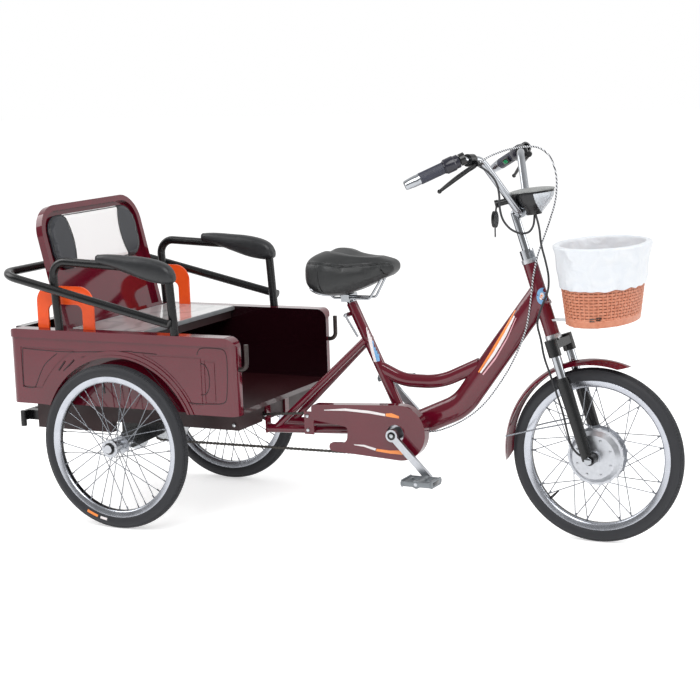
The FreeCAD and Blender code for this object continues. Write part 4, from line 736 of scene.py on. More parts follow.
def makeNipples(name, body, centre, start, flangeHalf):
    # spoke nipples round the inside of a rim
    profile = [(0.0001, 0), (0.0021, 0), (0.0021, 0.005), (0.0016, 0.011), (0.0001, 0.011)]
    model = lathe(name + "_nipple", profile, (0, 0, 0), (0, 0, 1), 8, False)
    hub = Vector(centre)
    spots = []
    for side in (-1, 1):
        for i in range(18):
            way = 1 if i % 2 else -1
            turn = math.radians(i * 20 + (side + 1) * 5 + way * start)
            out = Vector((math.cos(turn), 0, math.sin(turn)))
            foot = hub + out * rimSet["inner"] + Vector((0, side * (0.0035 + way * 0.001), 0))
            aim = Vector((0, side * flangeHalf * 0.16, 0)) - out
            spots.append(aimed(foot, aim))
    ring = scatter(name + "_nipples", model, spots)
    place(ring, "wireSteel", body, "steel", angle=40)


hubSet = {"out": 0.0335, "cover": 0.0338, "boltRing": 0.052, "flange": 0.077,
          "flangeHalf": 0.018, "nut": 0.0792}


def makeRearHub(name, body, side):
    centre = Vector((axleX, side * (trackHalf + hubSet["out"]), axleZ))
    out = (0, side, 0)
    profile = [(0.0122, 0), (0.0176, 0), (0.0176, 0.002), (0.0166, 0.0036), (0.0122, 0.0036)]
    seal = lathe(name + "_seal", profile, centre, out, 40)
    place(seal, "blackAbs", body, "black_plastic", angle=40)
    profile = [(0.0112, 0.0036), (0.0129, 0.0036), (0.0129, 0.0084), (0.0123, 0.0093),
               (0.0112, 0.0093)]
    cap = lathe(name + "_collar", profile, centre, out, 40)
    place(cap, "chromePlate", body, "chrome", angle=30)
    # the cast flange's raised webs, seen between the spokes
    web = slab(name + "_web", (0.0042, 0.0018, 0.016), (0, 0, 0.0185), 0.0007)
    spots = [Matrix.Translation(centre) @ Matrix.Rotation(math.radians(i * 40), 4, "Y")
             for i in range(9)]
    webs = scatter(name + "_webs", web, spots)
    place(webs, "castAlloy", body, "alloy", angle=40)


def screwModel(name, radius, high):
    # a pan head with a cross recess's rim
    profile = [(0.0001, 0), (radius, 0), (radius, high * 0.35), (radius * 0.8, high * 0.85),
               (radius * 0.45, high), (radius * 0.3, high * 0.7), (0.0001, high * 0.7)]
    return lathe(name, profile, (0, 0, 0), (0, 0, 1), 14, False)


def nutModel(name, radius, high):
    nut = shape("cylinder", name, vertices=6, radius=radius, depth=high,
                location=(0, 0, high / 2))
    modify(nut, "BEVEL", width=radius * 0.12, segments=2)
    return nut


def makeMotor():
    def ring(count, radius, half, first=0.0, slip=0):
        # places on both faces, pointing outwards; the second face is turned on by the slip
        spots = []
        for side in (-1, 1):
            for i in range(count):
                turn = math.radians(i * 360 / count + first + (side + 1) * slip)
                foot = Vector((frontX + math.cos(turn) * radius, side * half,
                               axleZ + math.sin(turn) * radius))
                spots.append(aimed(foot, (0, side, 0)))
        return spots
    screws = scatter("motor_screws", screwModel("motor_screw", 0.0036, 0.0026),
                     ring(8, hubSet["boltRing"], hubSet["cover"], 22.5))
    place(screws, "zincSteel", "front_wheel", "steel", angle=40)
    # lobes of the spoke flange
    lobe = lathe("motor_lobe", [(0.0024, -0.0034), (0.0058, -0.0034), (0.0058, 0.0034),
                                (0.0024, 0.0034)], (0, 0, 0), (0, 0, 1), 16)
    lobes = scatter("motor_lobes", lobe, ring(18, hubSet["flange"], hubSet["flangeHalf"],
                                              slip=5))
    place(lobes, "castAlloy", "front_wheel", "alloy", angle=40)
    nuts = scatter("front_axle_nuts", nutModel("axle_nut", 0.0115, 0.0078),
                   ring(1, 0, hubSet["nut"]))
    place(nuts, "chromePlate", "steering", "chrome", angle=30)


# each: body, middle, turn of the valve, turn of the nipples, half the hub's width there
wheelSet = {"right_wheel": ("right_wheel", (axleX, -trackHalf, axleZ), 100, 60, 0.03),
            "left_wheel": ("left_wheel", (axleX, trackHalf, axleZ), 100, 60, 0.03),
            "front": ("front_wheel", (frontX, 0, axleZ), 224, 30, 0.018)}
for name, (body, centre, valveTurn, nippleTurn, flangeHalf) in wheelSet.items():
    makeTyre(name + "_tyre", body, centre)
    makeRim(name + "_rim", body, centre)
    makeValve(name, body, centre, valveTurn)
    makeNipples(name, body, centre, nippleTurn, flangeHalf)
for side, name in bothSides:
    makeRearHub(name + "_hub", name + "_wheel", side)
makeMotor()
print("wheels made")

saddleSet = {"rear": axleX + 0.522, "long": 0.259, "half": 0.1205, "low": 0.6795,
             "tall": 0.1215, "groove": 0.011, "voxel": 0.004, "pressure": 4.0, "cap": 0.005,
             "seam": 0.5}
# rows: share of the length, half width, low and top edge as shares
saddleShares = [(0, 0.7, 0.24, 0.86), (0.05, 0.86, 0.14, 0.94), (0.15, 0.97, 0.05, 1.0),
                (0.3, 1.0, 0, 0.99), (0.48, 0.78, 0.08, 0.91), (0.68, 0.5, 0.26, 0.87),
                (0.86, 0.36, 0.44, 0.86), (0.96, 0.3, 0.52, 0.83), (1, 0.2, 0.6, 0.76)]


def saddlePoint(share, turn):
    wide, low, top = between(saddleShares, share)
    half = saddleSet["half"] * wide
    bottom = saddleSet["low"] + saddleSet["tall"] * low
    high = saddleSet["low"] + saddleSet["tall"] * top
    middle = bottom + (high - bottom) * 0.45
    c, s = math.cos(turn), math.sin(turn)
    y = half * squared(c, 0.55)
    if s >= 0:
        z = middle + (high - middle) * s ** 0.62
        fade = min(1, max(0, (0.8 - share) / 0.35)) * min(1, 0.4 + share * 4)
        z -= saddleSet["groove"] * math.exp(-(y / 0.019) ** 2) * fade
    else:
        z = middle - (middle - bottom) * (-s) ** 0.5
    return Vector((saddleSet["rear"] + saddleSet["long"] * share, y, z))


def makeSaddle():
    shares = [0, 0.012, 0.03] + spread(0.06, 0.88, 28) + [0.97, 0.988, 1]
    saddle = loft("saddle_cover", [[saddlePoint(share, turn) for turn in turns(44)]
                                   for share in shares])
    stuff(saddle, saddleSet["voxel"], saddleSet["pressure"], saddleSet["cap"])
    # sewn along both sides, and down them in two places
    lines = [[saddlePoint(share, turn) for share in spread(0.02, 0.95, 20)]
             for turn in (saddleSet["seam"], math.pi - saddleSet["seam"])]
    for share, slant in ((0.2, 0.08), (0.84, 0.06)):
        for far in (False, True):
            line = []
            for i in range(7):
                turn = saddleSet["seam"] - (saddleSet["seam"] + 1.1) * i / 6
                line.append(saddlePoint(share + slant * i / 6, math.pi - turn if far else turn))
            lines.append(line)
    seams = [onto(saddle, line) for line in lines]
    crease(saddle, seams, 0.005, 0.0024)
    place(saddle, "blackVinyl", "frame", "vinyl", ["saddle"], 60)
    piping = join([tube("saddle_piping", onto(saddle, line), 0.0011, 2, 4)
                   for line in lines], "saddle_piping")
    place(piping, "blackVinyl", "frame", "vinyl")
    # the sprung wire under the rear rim
    under = [saddlePoint(share, turn) + Vector((-0.002, 0, -0.002))
             for share, turn in ((0.4, 4.9), (0.3, 5.2), (0.18, 5.35), (0.08, 5.4), (0.02, 5.2),
                                 (0.0, 4.9), (0.0, 4.52), (0.02, 4.22), (0.08, 4.02),
                                 (0.18, 4.07), (0.3, 4.22), (0.4, 4.52))]
    wire = tube("saddle_wire", under, 0.0042, 3, 8)
    place(wire, "chromePlate", "frame", "chrome")


makeSaddle()
print("saddle made")

# the seat back leans from its foot; places on it are (across, up, ahead of its front)
backFoot = Vector((-0.80715, 0, 0.583))
backLean = math.radians(13.5)
backUp = Vector((-math.sin(backLean), 0, math.cos(backLean)))
backOut = Vector((math.cos(backLean), 0, math.sin(backLean)))
padSet = {"half": 0.2385, "low": 0.1665, "high": 0.3475, "corner": 0.064, "behind": -0.0125,
          "rim": -0.0005, "crown": 0.0022, "voxel": 0.005, "pressure": 4.0, "cap": 0.006}


def onBack(y, up, ahead):
    return backFoot + Vector((0, y, 0)) + backUp * up + backOut * ahead


def backOutline(inset, ahead):
    points = []
    low, high = padSet["low"] + inset, padSet["high"] - inset
    half, corner = padSet["half"] - inset, max(padSet["corner"] - inset, 0.01)
    for k, (y, up) in enumerate(((1, 1), (-1, 1), (-1, 0), (1, 0))):
        cy = y * (half - corner)
        cu = high - corner if up else low + corner
        for i in range(13):
            turn = math.pi / 2 * (k + i / 12)
            points.append(onBack(cy + corner * math.cos(turn), cu + corner * math.sin(turn),
                                 ahead))
    return points


def centreEdge(up):
    z = backFoot.z + up * math.cos(backLean)
    return centreSet["narrow"] + centreSet["flare"] * ((z - centreSet["middle"])
                                                       / centreSet["half"]) ** 2


def makeBackPad():
    rings = [backOutline(0.02, padSet["behind"]), backOutline(0.002, padSet["behind"] + 0.001),
             backOutline(0, padSet["behind"] + 0.004), backOutline(0, padSet["rim"] - 0.004),
             backOutline(0.003, padSet["rim"]), backOutline(0.012, padSet["rim"] + 0.001),
             backOutline(0.04, padSet["crown"]), backOutline(0.075, padSet["crown"] + 0.001)]
    pad = loft("back_cushion", rings)
    stuff(pad, padSet["voxel"], padSet["pressure"], padSet["cap"])
    for vertex in pad.data.vertices:
        ahead = (vertex.co - backFoot).dot(backOut)
        vertex.co += backOut * (min(max(ahead, -0.0136), 0.0062) - ahead)
    lines = []
    for side in (-1, 1):
        ups = spread(padSet["low"] + 0.004, padSet["high"] - padSet["low"] - 0.008, 16)
        lines.append(onto(pad, [onBack(side * centreEdge(up), up, 0.01) for up in ups]))
    crease(pad, lines, 0.006, 0.0022)
    place(pad, "padVinyl", "frame", "pad_vinyl", ["backrest_pad"], 60)
    hem = backOutline(0.006, 0.008)
    hem = onto(pad, hem + hem[:1])
    piping = join([tube("pad_piping", line, 0.0012, 2, 3) for line in lines]
                  + [tube("pad_hem", hem, 0.0016, 2, 2)], "pad_piping")
    place(piping, "blackVinyl", "frame", "pad_vinyl")


makeBackPad()
print("back cushion made")

armSet = {"start": axleX - 0.05, "long": 0.262, "z": 0.75, "rise": 0.049, "half": 0.0335,
          "wide": 0.0235, "y": 0.3, "voxel": 0.004, "pressure": 4.0, "cap": 0.0035}
# rows: share along, height, half height and half width as shares
armShares = [(0, 1, 0.4, 0.68), (0.158, 0.94, 0.54, 0.8), (0.421, 0.69, 0.8, 0.92),
             (0.647, 0.47, 1, 1), (0.835, 0.29, 0.97, 1), (0.947, 0.14, 0.74, 0.84),
             (1, 0, 0.34, 0.48)]


def armPoint(side, share, turn):
    up, high, wide = between(armShares, share)
    c, s = math.cos(turn), math.sin(turn)
    return Vector((armSet["start"] + armSet["long"] * share,
                   side * armSet["y"] + armSet["wide"] * wide * squared(c, 0.75),
                   armSet["z"] + armSet["rise"] * up
                   + armSet["half"] * high * squared(s, 0.75)))


def makeArmPads():
    for side, name in bothSides:
        pad = loft(name + "_arm_cushion", [[armPoint(side, share, turn) for turn in turns(28)]
                                           for share in spread(0, 1, 26)])
        stuff(pad, armSet["voxel"], armSet["pressure"], armSet["cap"])
        seams = [onto(pad, [armPoint(side, share, -math.pi / 2)
                            for share in spread(0.04, 0.92, 16)]),
                 onto(pad, [armPoint(side, 0.03, turn) for turn in spread(0, 2 * math.pi, 20)])]
        crease(pad, seams, 0.004, 0.0014)
        place(pad, "foamSleeve", "frame", "black_foam", ["armrest_pads"], 60)


makeArmPads()
print("armrest cushions made")

basketSet = {"x": 0.78485, "low": 0.628, "high": 0.829, "long": 0.0905, "longer": 0.117,
             "wide": 0.1565, "wider": 0.18, "band": 0.645, "rows": 22, "stakes": 64,
             "strip": 0.0062, "thick": 0.0018, "weave": 0.0017,
             "stakeHalf": 0.0024 / 1.05, "stakeThick": 0.0009, "cord": 0.0036, "lay": 54}
# the length run round the basket's oval at each of many even turns
ovalSet = {"long": 0.104, "wide": 0.169, "count": 720}
ovalRuns = [0.0]
for i in range(ovalSet["count"]):
    turn = 2 * math.pi * (i + 0.5) / ovalSet["count"]
    ovalRuns.append(ovalRuns[-1] + math.hypot(ovalSet["long"] * math.sin(turn),
                                              ovalSet["wide"] * math.cos(turn)))


def ovalTurn(share):
    # the turn at which that share of the oval's length is run
    run = share % 1 * ovalRuns[-1]
    low = bisect.bisect_right(ovalRuns, run) - 1
    part = (run - ovalRuns[low]) / (ovalRuns[low + 1] - ovalRuns[low])
    return 2 * math.pi * (low + part) / ovalSet["count"]


def basketPoint(share, height, out):
    # a spot on the basket's wall: share round it, height up it, distance outside it
    f = (height - basketSet["low"]) / (basketSet["high"] - basketSet["low"])
    long = basketSet["long"] + (basketSet["longer"] - basketSet["long"]) * f
    wide = basketSet["wide"] + (basketSet["wider"] - basketSet["wide"]) * f
    turn = ovalTurn(share)
    c, s = math.cos(turn), math.sin(turn)
    way = Vector((c / long, s / wide)).normalized()
    return Vector((basketSet["x"] + long * c + way.x * out, wide * s + way.y * out, height))


def basketRing(height, out, count=144):
    return [basketPoint(i / count, height, out) for i in range(count)]


def weave():
    # strips that pass in and out of the stakes, and the stakes
    stakes, rows = basketSet["stakes"], basketSet["rows"]
    corners = ((-1, -1), (-1, 1), (1, 1), (1, -1))
    pitch = (basketSet["high"] - basketSet["band"]) / rows
    thick, high = basketSet["thick"], basketSet["strip"]
    pieces = []
    count = stakes * 3
    for row in range(rows):
        z = basketSet["band"] + pitch * (row + 0.5)
        rings = []
        for i in range(count):
            share = i / count
            out = basketSet["weave"] * math.cos(math.pi * stakes * share + math.pi * row)
            rings.append([basketPoint(share, z + up * high / 2, out + side * thick / 2)
                          for up, side in corners])
        pieces.append(loft("weft", rings, closed=True))
    for i in range(stakes):
        share = (i + 0.001) / stakes
        rings = []
        for k in range(6):
            z = basketSet["low"] + (basketSet["high"] - basketSet["low"]) * k / 5
            rings.append([basketPoint((share + side * basketSet["stakeHalf"]) % 1, z,
                                      out * basketSet["stakeThick"])
                          for out, side in corners])
        pieces.append(loft("stake", rings))
    return pieces


def plaitRim():
    # two cords round each other
    pieces = []
    for strand in (0, 1):
        rings = []
        for i in range(432):
            share = i / 432
            turn = 2 * math.pi * basketSet["lay"] * share + math.pi * strand
            centre = basketPoint(share, basketSet["high"] + 0.002 + 0.0028 * math.sin(turn),
                                 0.0028 * math.cos(turn))
            out = (basketPoint(share, centre.z, 0.01) - basketPoint(share, centre.z, 0)) * 100
            rings.append([centre + (out * math.cos(t) + Vector((0, 0, math.sin(t))))
                          * basketSet["cord"] for t in turns(6)])
        pieces.append(loft("rim_cord", rings, closed=True))
    return pieces


def makeFoot():
    # plain band round the foot, and strips crossing over the bottom
    low, band = basketSet["low"], basketSet["band"]
    pieces = [loft("foot_band", [basketRing(z, out) for z, out in (
        (low + 0.001, -0.006), (low - 0.001, -0.001), (low + 0.001, 0.0024), (band, 0.0026),
        (band + 0.002, 0.001), (band + 0.001, -0.0026), (low + 0.003, -0.0028))], closed=True)]
    for i, y in enumerate(spread(-0.144, 0.288, 12)):
        half = 0.09 * math.sqrt(1 - (y / 0.156) ** 2)
        pieces.append(slab("floor_strip", (2 * half, 0.012, 0.002),
                           (basketSet["x"], y, low + 0.0012 * (i % 2)), 0.0005, 1))
    for x in spread(-0.069, 0.138, 6):
        half = 0.155 * math.sqrt(1 - (x / basketSet["long"]) ** 2)
        pieces.append(slab("floor_strip", (0.012, 2 * half, 0.002),
                           (basketSet["x"] + x, 0, low + 0.0006), 0.0005, 1))
    return pieces


def makeBasket():
    basket = weave() + plaitRim() + makeFoot()
    # cane wall behind the weave, darker: painted shade seen through the gaps
    low = basketSet["low"]
    liner = loft("basket_back", [basketRing(z, out) for z, out in (
        (low + 0.004, -0.0038), (0.72, -0.0038), (0.822, -0.0038), (0.822, -0.0046),
        (0.72, -0.0046), (low + 0.004, -0.0046))], closed=True)
    place(liner, "caneShade", "frame", "basket_plastic", angle=40)
    # slots for the strap: black rods, painted shade inside the holes
    slots = []
    for share, z in ((0.775, 0.653), (0.775, 0.647), (0.797, 0.656), (0.797, 0.65)):
        a, b = basketPoint(share - 0.008, z, 0.0028), basketPoint(share + 0.008, z, 0.0028)
        slots.append(rod("strap_slot", a, b, 0.0014, 8))
    slots = join(slots, "strap_slots")
    place(slots, "blackAbs", "frame", "basket_plastic")
    basket = join(basket, "woven_basket")
    place(basket, "caneBrown", "frame", "basket_plastic", ["basket"], 30)


filmSet = {"low": 0.727, "high": 0.8405, "out": 0.0062, "fold": 0.0034,
           "flat": (0.99, 0.178)}


def makeWrap():
    # the clear wrap left over the upper half, folded down inside the rim
    rings = []
    shares = [i / 160 for i in range(160)]
    for k, z in enumerate(spread(filmSet["low"], filmSet["high"] - filmSet["low"], 14)):
        swell = 0.0034 * max(0, (z - 0.8) / 0.04)
        ring = []
        for share in shares:
            wave = noise.noise(Vector((share * 46, z * 30, 0)))
            ragged = 0.005 * noise.noise(Vector((share * 30, 7, 3))) if k == 0 else 0
            ring.append(basketPoint(share, z + ragged, filmSet["out"] + swell
                                    + filmSet["fold"] * max(wave, -0.8)))
        rings.append(ring)
    for k in range(1, 12):
        z = filmSet["high"] - 0.0075 * max(0, k - 4) + 0.0012 * math.sin(math.pi * k / 5)
        rings.append([basketPoint(share, z, 0.0096 - 0.0048 * min(k, 4) + 0.0016 * noise.noise(
            Vector((share * 46, z * 30 + 5, 0)))) for share in shares])
    wrap = loft("basket_wrap", rings, capped=False)
    modify(wrap, "SOLIDIFY", thickness=0.0006, offset=0)
    modify(wrap, "SUBSURF", levels=1)
    place(wrap, "milkyFilm", "frame", "clear_lens", angle=60)


makeBasket()
makeWrap()
print("basket made")

chainSet = {"y": -0.075, "frontX": 0.18885, "frontZ": 0.287, "front": 0.067, "rear": 0.035,
            "pitch": 0.0127, "high": 0.0078, "plate": 0.0011, "outer": 0.0027,
            "inner": 0.0015}


def makeChain():
    rear = Vector((axleX, axleZ))
    front = Vector((chainSet["frontX"], chainSet["frontZ"]))
    r1, r2 = chainSet["rear"], chainSet["front"]
    span = front - rear
    lean = math.asin((r2 - r1) / span.length)
    course = math.atan2(span.y, span.x)
    upper = course + math.pi / 2 + lean
    lower = course - math.pi / 2 - lean
    straight = span.length * math.cos(lean)
    frontArc = r2 * (upper - lower)
    rearArc = r1 * (2 * math.pi - (upper - lower))
    total = 2 * straight + frontArc + rearArc
    count = 2 * round(total / chainSet["pitch"] / 2)

    def spot(run):
        run %= total
        if run < straight:
            way = Vector((math.cos(upper), math.sin(upper)))
            return (rear + way * r1).lerp(front + way * r2, run / straight)
        run -= straight
        if run < frontArc:
            turn = upper - run / r2
            return front + Vector((math.cos(turn), math.sin(turn))) * r2
        run -= frontArc
        if run < straight:
            way = Vector((math.cos(lower), math.sin(lower)))
            return (front + way * r2).lerp(rear + way * r1, run / straight)
        turn = lower - (run - straight) / r1
        return rear + Vector((math.cos(turn), math.sin(turn))) * r1

    def plate(name, offsets):
        # waisted side plates, both of one link, along x
        half, high = chainSet["pitch"] / 2, chainSet["high"] / 2
        outline = []
        for end in (1, -1):
            for i in range(7):
                turn = math.pi * (i / 6 - 0.5) + (0 if end == 1 else math.pi)
                outline.append((end * half + high * math.cos(turn), high * math.sin(turn)))
            outline.append((0, high * 0.66 * end))
        plates = []
        for offset in offsets:
            rings = [[Vector((x, offset + d, z)) for x, z in outline]
                     for d in (-chainSet["plate"] / 2, chainSet["plate"] / 2)]
            plates.append(loft(name, rings))
        return plates

    outer = join(plate("outer_link", (-chainSet["outer"], chainSet["outer"])), "outer_link")
    half = chainSet["pitch"] / 2
    roller = rod("roller", (half, -0.0034, 0), (half, 0.0034, 0), 0.0022, 8)
    barrel = rod("barrel", (-half, -0.0015, 0), (-half, 0.0015, 0), 0.0037, 10)
    inner = join(plate("inner_link", (-chainSet["inner"], chainSet["inner"]))
                 + [roller, barrel], "inner_link")
    spots = ([], [])
    for i in range(count):
        a, b = spot(total * i / count), spot(total * (i + 1) / count)
        middle, way = (a + b) / 2, b - a
        turn = math.atan2(way.y, way.x)
        spots[i % 2].append(Matrix.Translation((middle.x, chainSet["y"], middle.y))
                            @ Matrix.Rotation(-turn, 4, "Y"))
    chain = join([scatter("outer_links", outer, spots[0]),
                  scatter("inner_links", inner, spots[1])], "chain_links")
    place(chain, "oiledSteel", "frame", "dark_steel", ["chain"], 30)


makeChain()
print("chain made")

pedalSet = {"long": 0.094, "wide": 0.076, "high": 0.022, "teeth": 9,
            "right": (0.2997, -0.167, 0.173), "left": (0.078, 0.167, 0.401)}


def makePedal(name, body, centre):
    # two toothed rails joined by end plates, round a barrel
    half, wide, high = pedalSet["long"] / 2, pedalSet["wide"] / 2, pedalSet["high"] / 2
    pieces = []
    teeth = pedalSet["teeth"]
    step = (2 * wide - 0.008) / teeth
    for x in (-half + 0.002, half - 0.002):
        outline = []
        for side in (1, -1):
            for i in range(teeth):
                y = side * (-wide + 0.004 + (2 * wide - 0.008) * i / teeth)
                outline += [(y, side * (high - 0.0028)), (y + side * step * 0.5, side * high)]
            outline += [(side * (wide - 0.004), side * (high - 0.0028)),
                        (side * wide, side * (high - 0.008)),
                        (side * wide, side * (0.008 - high))]
        rings = [[Vector((x + d, y, z)) for y, z in outline] for d in (-0.0018, 0.0018)]
        pieces.append(loft("rail", rings))
        pieces.append(slab("block", (0.012, 0.05, 0.013),
                           (x - math.copysign(0.0078, x), 0, 0), 0.0016))
    for y in (-wide + 0.003, wide - 0.003):
        pieces.append(slab("end", (2 * half - 0.005, 0.005, 0.015), (0, y, 0), 0.0014))
    pieces.append(lathe("barrel", [(0.0001, -wide + 0.002), (0.012, -wide + 0.002),
                                   (0.0125, -wide + 0.012), (0.0095, -wide + 0.02),
                                   (0.0088, wide - 0.02), (0.0105, wide - 0.006),
                                   (0.0105, wide), (0.0001, wide)],
                        (0, 0, 0), (0, 1, 0), 24, False))
    for y in (-0.018, 0.018):
        pieces.append(slab("rib", (2 * half - 0.01, 0.004, 0.012), (0, y, 0), 0.001))
    pedal = join(pieces, body + "_cage")
    freeze(pedal, Matrix.Translation(centre))
    place(pedal, "pedalGrey", body, "alloy", [name], 30)
    panes = [slab(body + "_reflector", (0.0016, 0.042, 0.0105),
                  Vector(centre) + Vector((side * (half - 0.0006), 0, 0)), 0.0006)
             for side in (-1, 1)]
    panes = join(panes, body + "_reflectors")
    place(panes, "smokedLens", body, "black_plastic")


for name in ("right", "left"):
    makePedal("pedal_" + name, name + "_pedal", pedalSet[name])


def makeCrankCaps():
    parts, discs = [], []
    for side in (-1, 1):
        foot = (chainSet["frontX"], side * 0.1202, chainSet["frontZ"])
        parts.append(lathe("crank_ring", [(0.0062, 0), (0.0118, 0), (0.0118, 0.0016),
                                          (0.0102, 0.0026), (0.0062, 0.0026)],
                           foot, (0, side, 0), 32))
        discs.append(lathe("crank_bolt", [(0.0001, 0), (0.006, 0), (0.0056, 0.0014),
                                          (0.0001, 0.002)], foot, (0, side, 0), 24, False))
    rings = join(parts, "crank_rings")
    place(rings, "blackAbs", "crank", "black_plastic", angle=40)
    bolts = join(discs, "crank_bolts")
    place(bolts, "chromePlate", "crank", "chrome", angle=40)


makeCrankCaps()
print("pedals made")

# profiles: (radius, distance along) from the bar's bend towards its end
gripSet = {"right": "grip_right", "left": "throttle_left",
           "start": (0.46785, 0.24, 1.079), "end": (0.37885, 0.296, 1.035),
           "collar": [(0.0115, 0.0), (0.0175, 0.0), (0.0185, 0.002), (0.0185, 0.012),
                      (0.0208, 0.0145), (0.0208, 0.039), (0.0196, 0.0415), (0.0178, 0.0425),
                      (0.0178, 0.0448), (0.0115, 0.0448)],
           "tip": [(0.0118, 0.1146), (0.0157, 0.1146), (0.0159, 0.1165), (0.0152, 0.119),
                   (0.0152, 0.1215), (0.0157, 0.1235), (0.0151, 0.136), (0.0138, 0.15),
                   (0.0129, 0.157), (0.0112, 0.1585), (0.0092, 0.1572), (0.0001, 0.1566)],
           "clamp": [(0.0115, 0), (0.0158, 0), (0.0168, 0.0012), (0.0168, 0.0148),
                     (0.0158, 0.016), (0.0115, 0.016)],
           "rubber": [(0.0144, 0.0449), (0.0156, 0.0455), (0.0156, 0.06), (0.0156, 0.08),
                      (0.0156, 0.1), (0.0156, 0.1138), (0.0144, 0.1145)],
           "flutes": 30, "flute": 0.0003}
displaySet = {"faces": (0.25, -0.85, -0.1), "along": 0.07, "out": 0.016}
leverSet = {"start": (0.49985, 0.1985, 1.0645), "run": (-0.075, 0.076, -0.0645)}
# rows: share along, breadth, thickness
leverRows = [(0, 0.009, 0.007), (0.06, 0.0125, 0.0072), (0.2, 0.0125, 0.0068),
             (0.6, 0.0105, 0.006), (0.93, 0.0088, 0.0054), (0.985, 0.0074, 0.005),
             (1, 0.003, 0.003)]


def makeLever(name, side):
    # flat blade that narrows to a rounded end
    start, run = (Vector(leverSet[key]) for key in ("start", "run"))
    start.y *= side
    run.y *= side
    way = run.normalized()
    up = (Vector((0, 0, 1)) - way * way.z).normalized()
    across = way.cross(up)
    rings = []
    for i in range(25):
        share = i / 24
        breadth, thick = between(leverRows, share)
        centre = start + run * share + up * (0.003 * math.sin(math.pi * share))
        rings.append([centre + up * (breadth / 2 * squared(math.sin(t), 0.7))
                      + across * (thick / 2 * squared(math.cos(t), 0.7)) for t in turns(24)])
    blade = loft(name + "_lever_blade", rings)
    place(blade, "blackAbs", "steering", "black_tube", angle=50)


def makeGrips():
    for side, name in bothSides:
        start, end = (Vector(gripSet[key]) for key in ("start", "end"))
        start.y *= side
        end.y *= side
        way = (end - start).normalized()
        collar = lathe(name + "_grip_collar", gripSet["collar"], start, way, 48)
        place(collar, "gripCollar", "steering", "black_plastic", [gripSet[name]], 35)
        # fine flutes along the rubber
        rings = []
        for radius, run in gripSet["rubber"]:
            ring = []
            for turn in turns(120):
                out = radius + gripSet["flute"] * math.cos(turn * gripSet["flutes"])
                ring.append(turnTo(way) @ Vector((out * math.cos(turn), out * math.sin(turn),
                                                  run)) + start)
            rings.append(ring)
        rubber = loft(name + "_grip_rubber", rings)
        place(rubber, "gripRubber", "steering", "black_plastic", angle=50)
        tip = lathe(name + "_grip_tip", gripSet["tip"], start, way, 48, False)
        place(tip, "chromePlate", "steering", "chrome", angle=35)
        band = lathe(name + "_switch_clamp", gripSet["clamp"], start - way * 0.0185, way, 40)
        place(band, "blackAbs", "steering", "black_plastic", angle=35)
        makeLever(name, side)


def makeDisplay():
    # small charge display on the throttle
    start, end = (Vector(gripSet[key]) for key in ("start", "end"))
    way = (end - start).normalized()
    toEye = Vector(displaySet["faces"])
    toEye -= way * toEye.dot(way)
    toEye.normalize()
    foot = start + way * displaySet["along"] + toEye * displaySet["out"]
    turn = Matrix((way, toEye.cross(way), toEye)).transposed().to_4x4()
    shell = slab("display_shell", (0.03, 0.02, 0.012), (0, 0, 0), 0.004, 3)
    pane = slab("display_pane", (0.017, 0.0105, 0.0012), (0, 0, 0.0063), 0.0005)
    for thing in (shell, pane):
        freeze(thing, Matrix.Translation(foot) @ turn)
    place(shell, "blackAbs", "steering", "black_plastic")
    place(pane, "greenPane", "steering", "clear_lens")


makeGrips()
makeDisplay()

lampSpot = Vector((0.58185, 0, 0.972))
lampTilt = Matrix.Rotation(math.radians(-7), 4, "Y")
lidSet = {"long": 0.0635, "wide": 0.0555}


def makeLampLid():
    # grey lid with a rolled rim, crowned along its middle
    rings = []
    for scale, up in ((0.9, 0.0048), (1.0, 0.0055), (1.02, 0.0075), (1.01, 0.0098),
                      (0.96, 0.0112), (0.8, 0.0136), (0.55, 0.0156), (0.25, 0.0166)):
        rings.append([lampTilt @ Vector((lidSet["long"] * scale * squared(math.cos(turn), 0.8),
                                         lidSet["wide"] * scale * squared(math.sin(turn), 0.85),
                                         up)) + lampSpot for turn in turns(56)])
    lid = loft("lamp_lid", rings)
    place(lid, "greyAbs", "steering", "black_plastic", angle=50)


makeLampLid()
print("grips and lamp made")

# heads of the frame's bolts, all on the right
boltSpots = [(0.516, -0.09, 0.323), (0.517, -0.09, 0.281), (0.347, -0.227, 0.312),
             (0.363, -0.07, 0.313)]
nuts = scatter("frame_bolts", nutModel("frame_bolt", 0.006, 0.0045),
               [aimed((axleX + x, y, z), (0, -1, 0)) for x, y, z in boltSpots])
place(nuts, "zincSteel", "frame", "steel", angle=30)

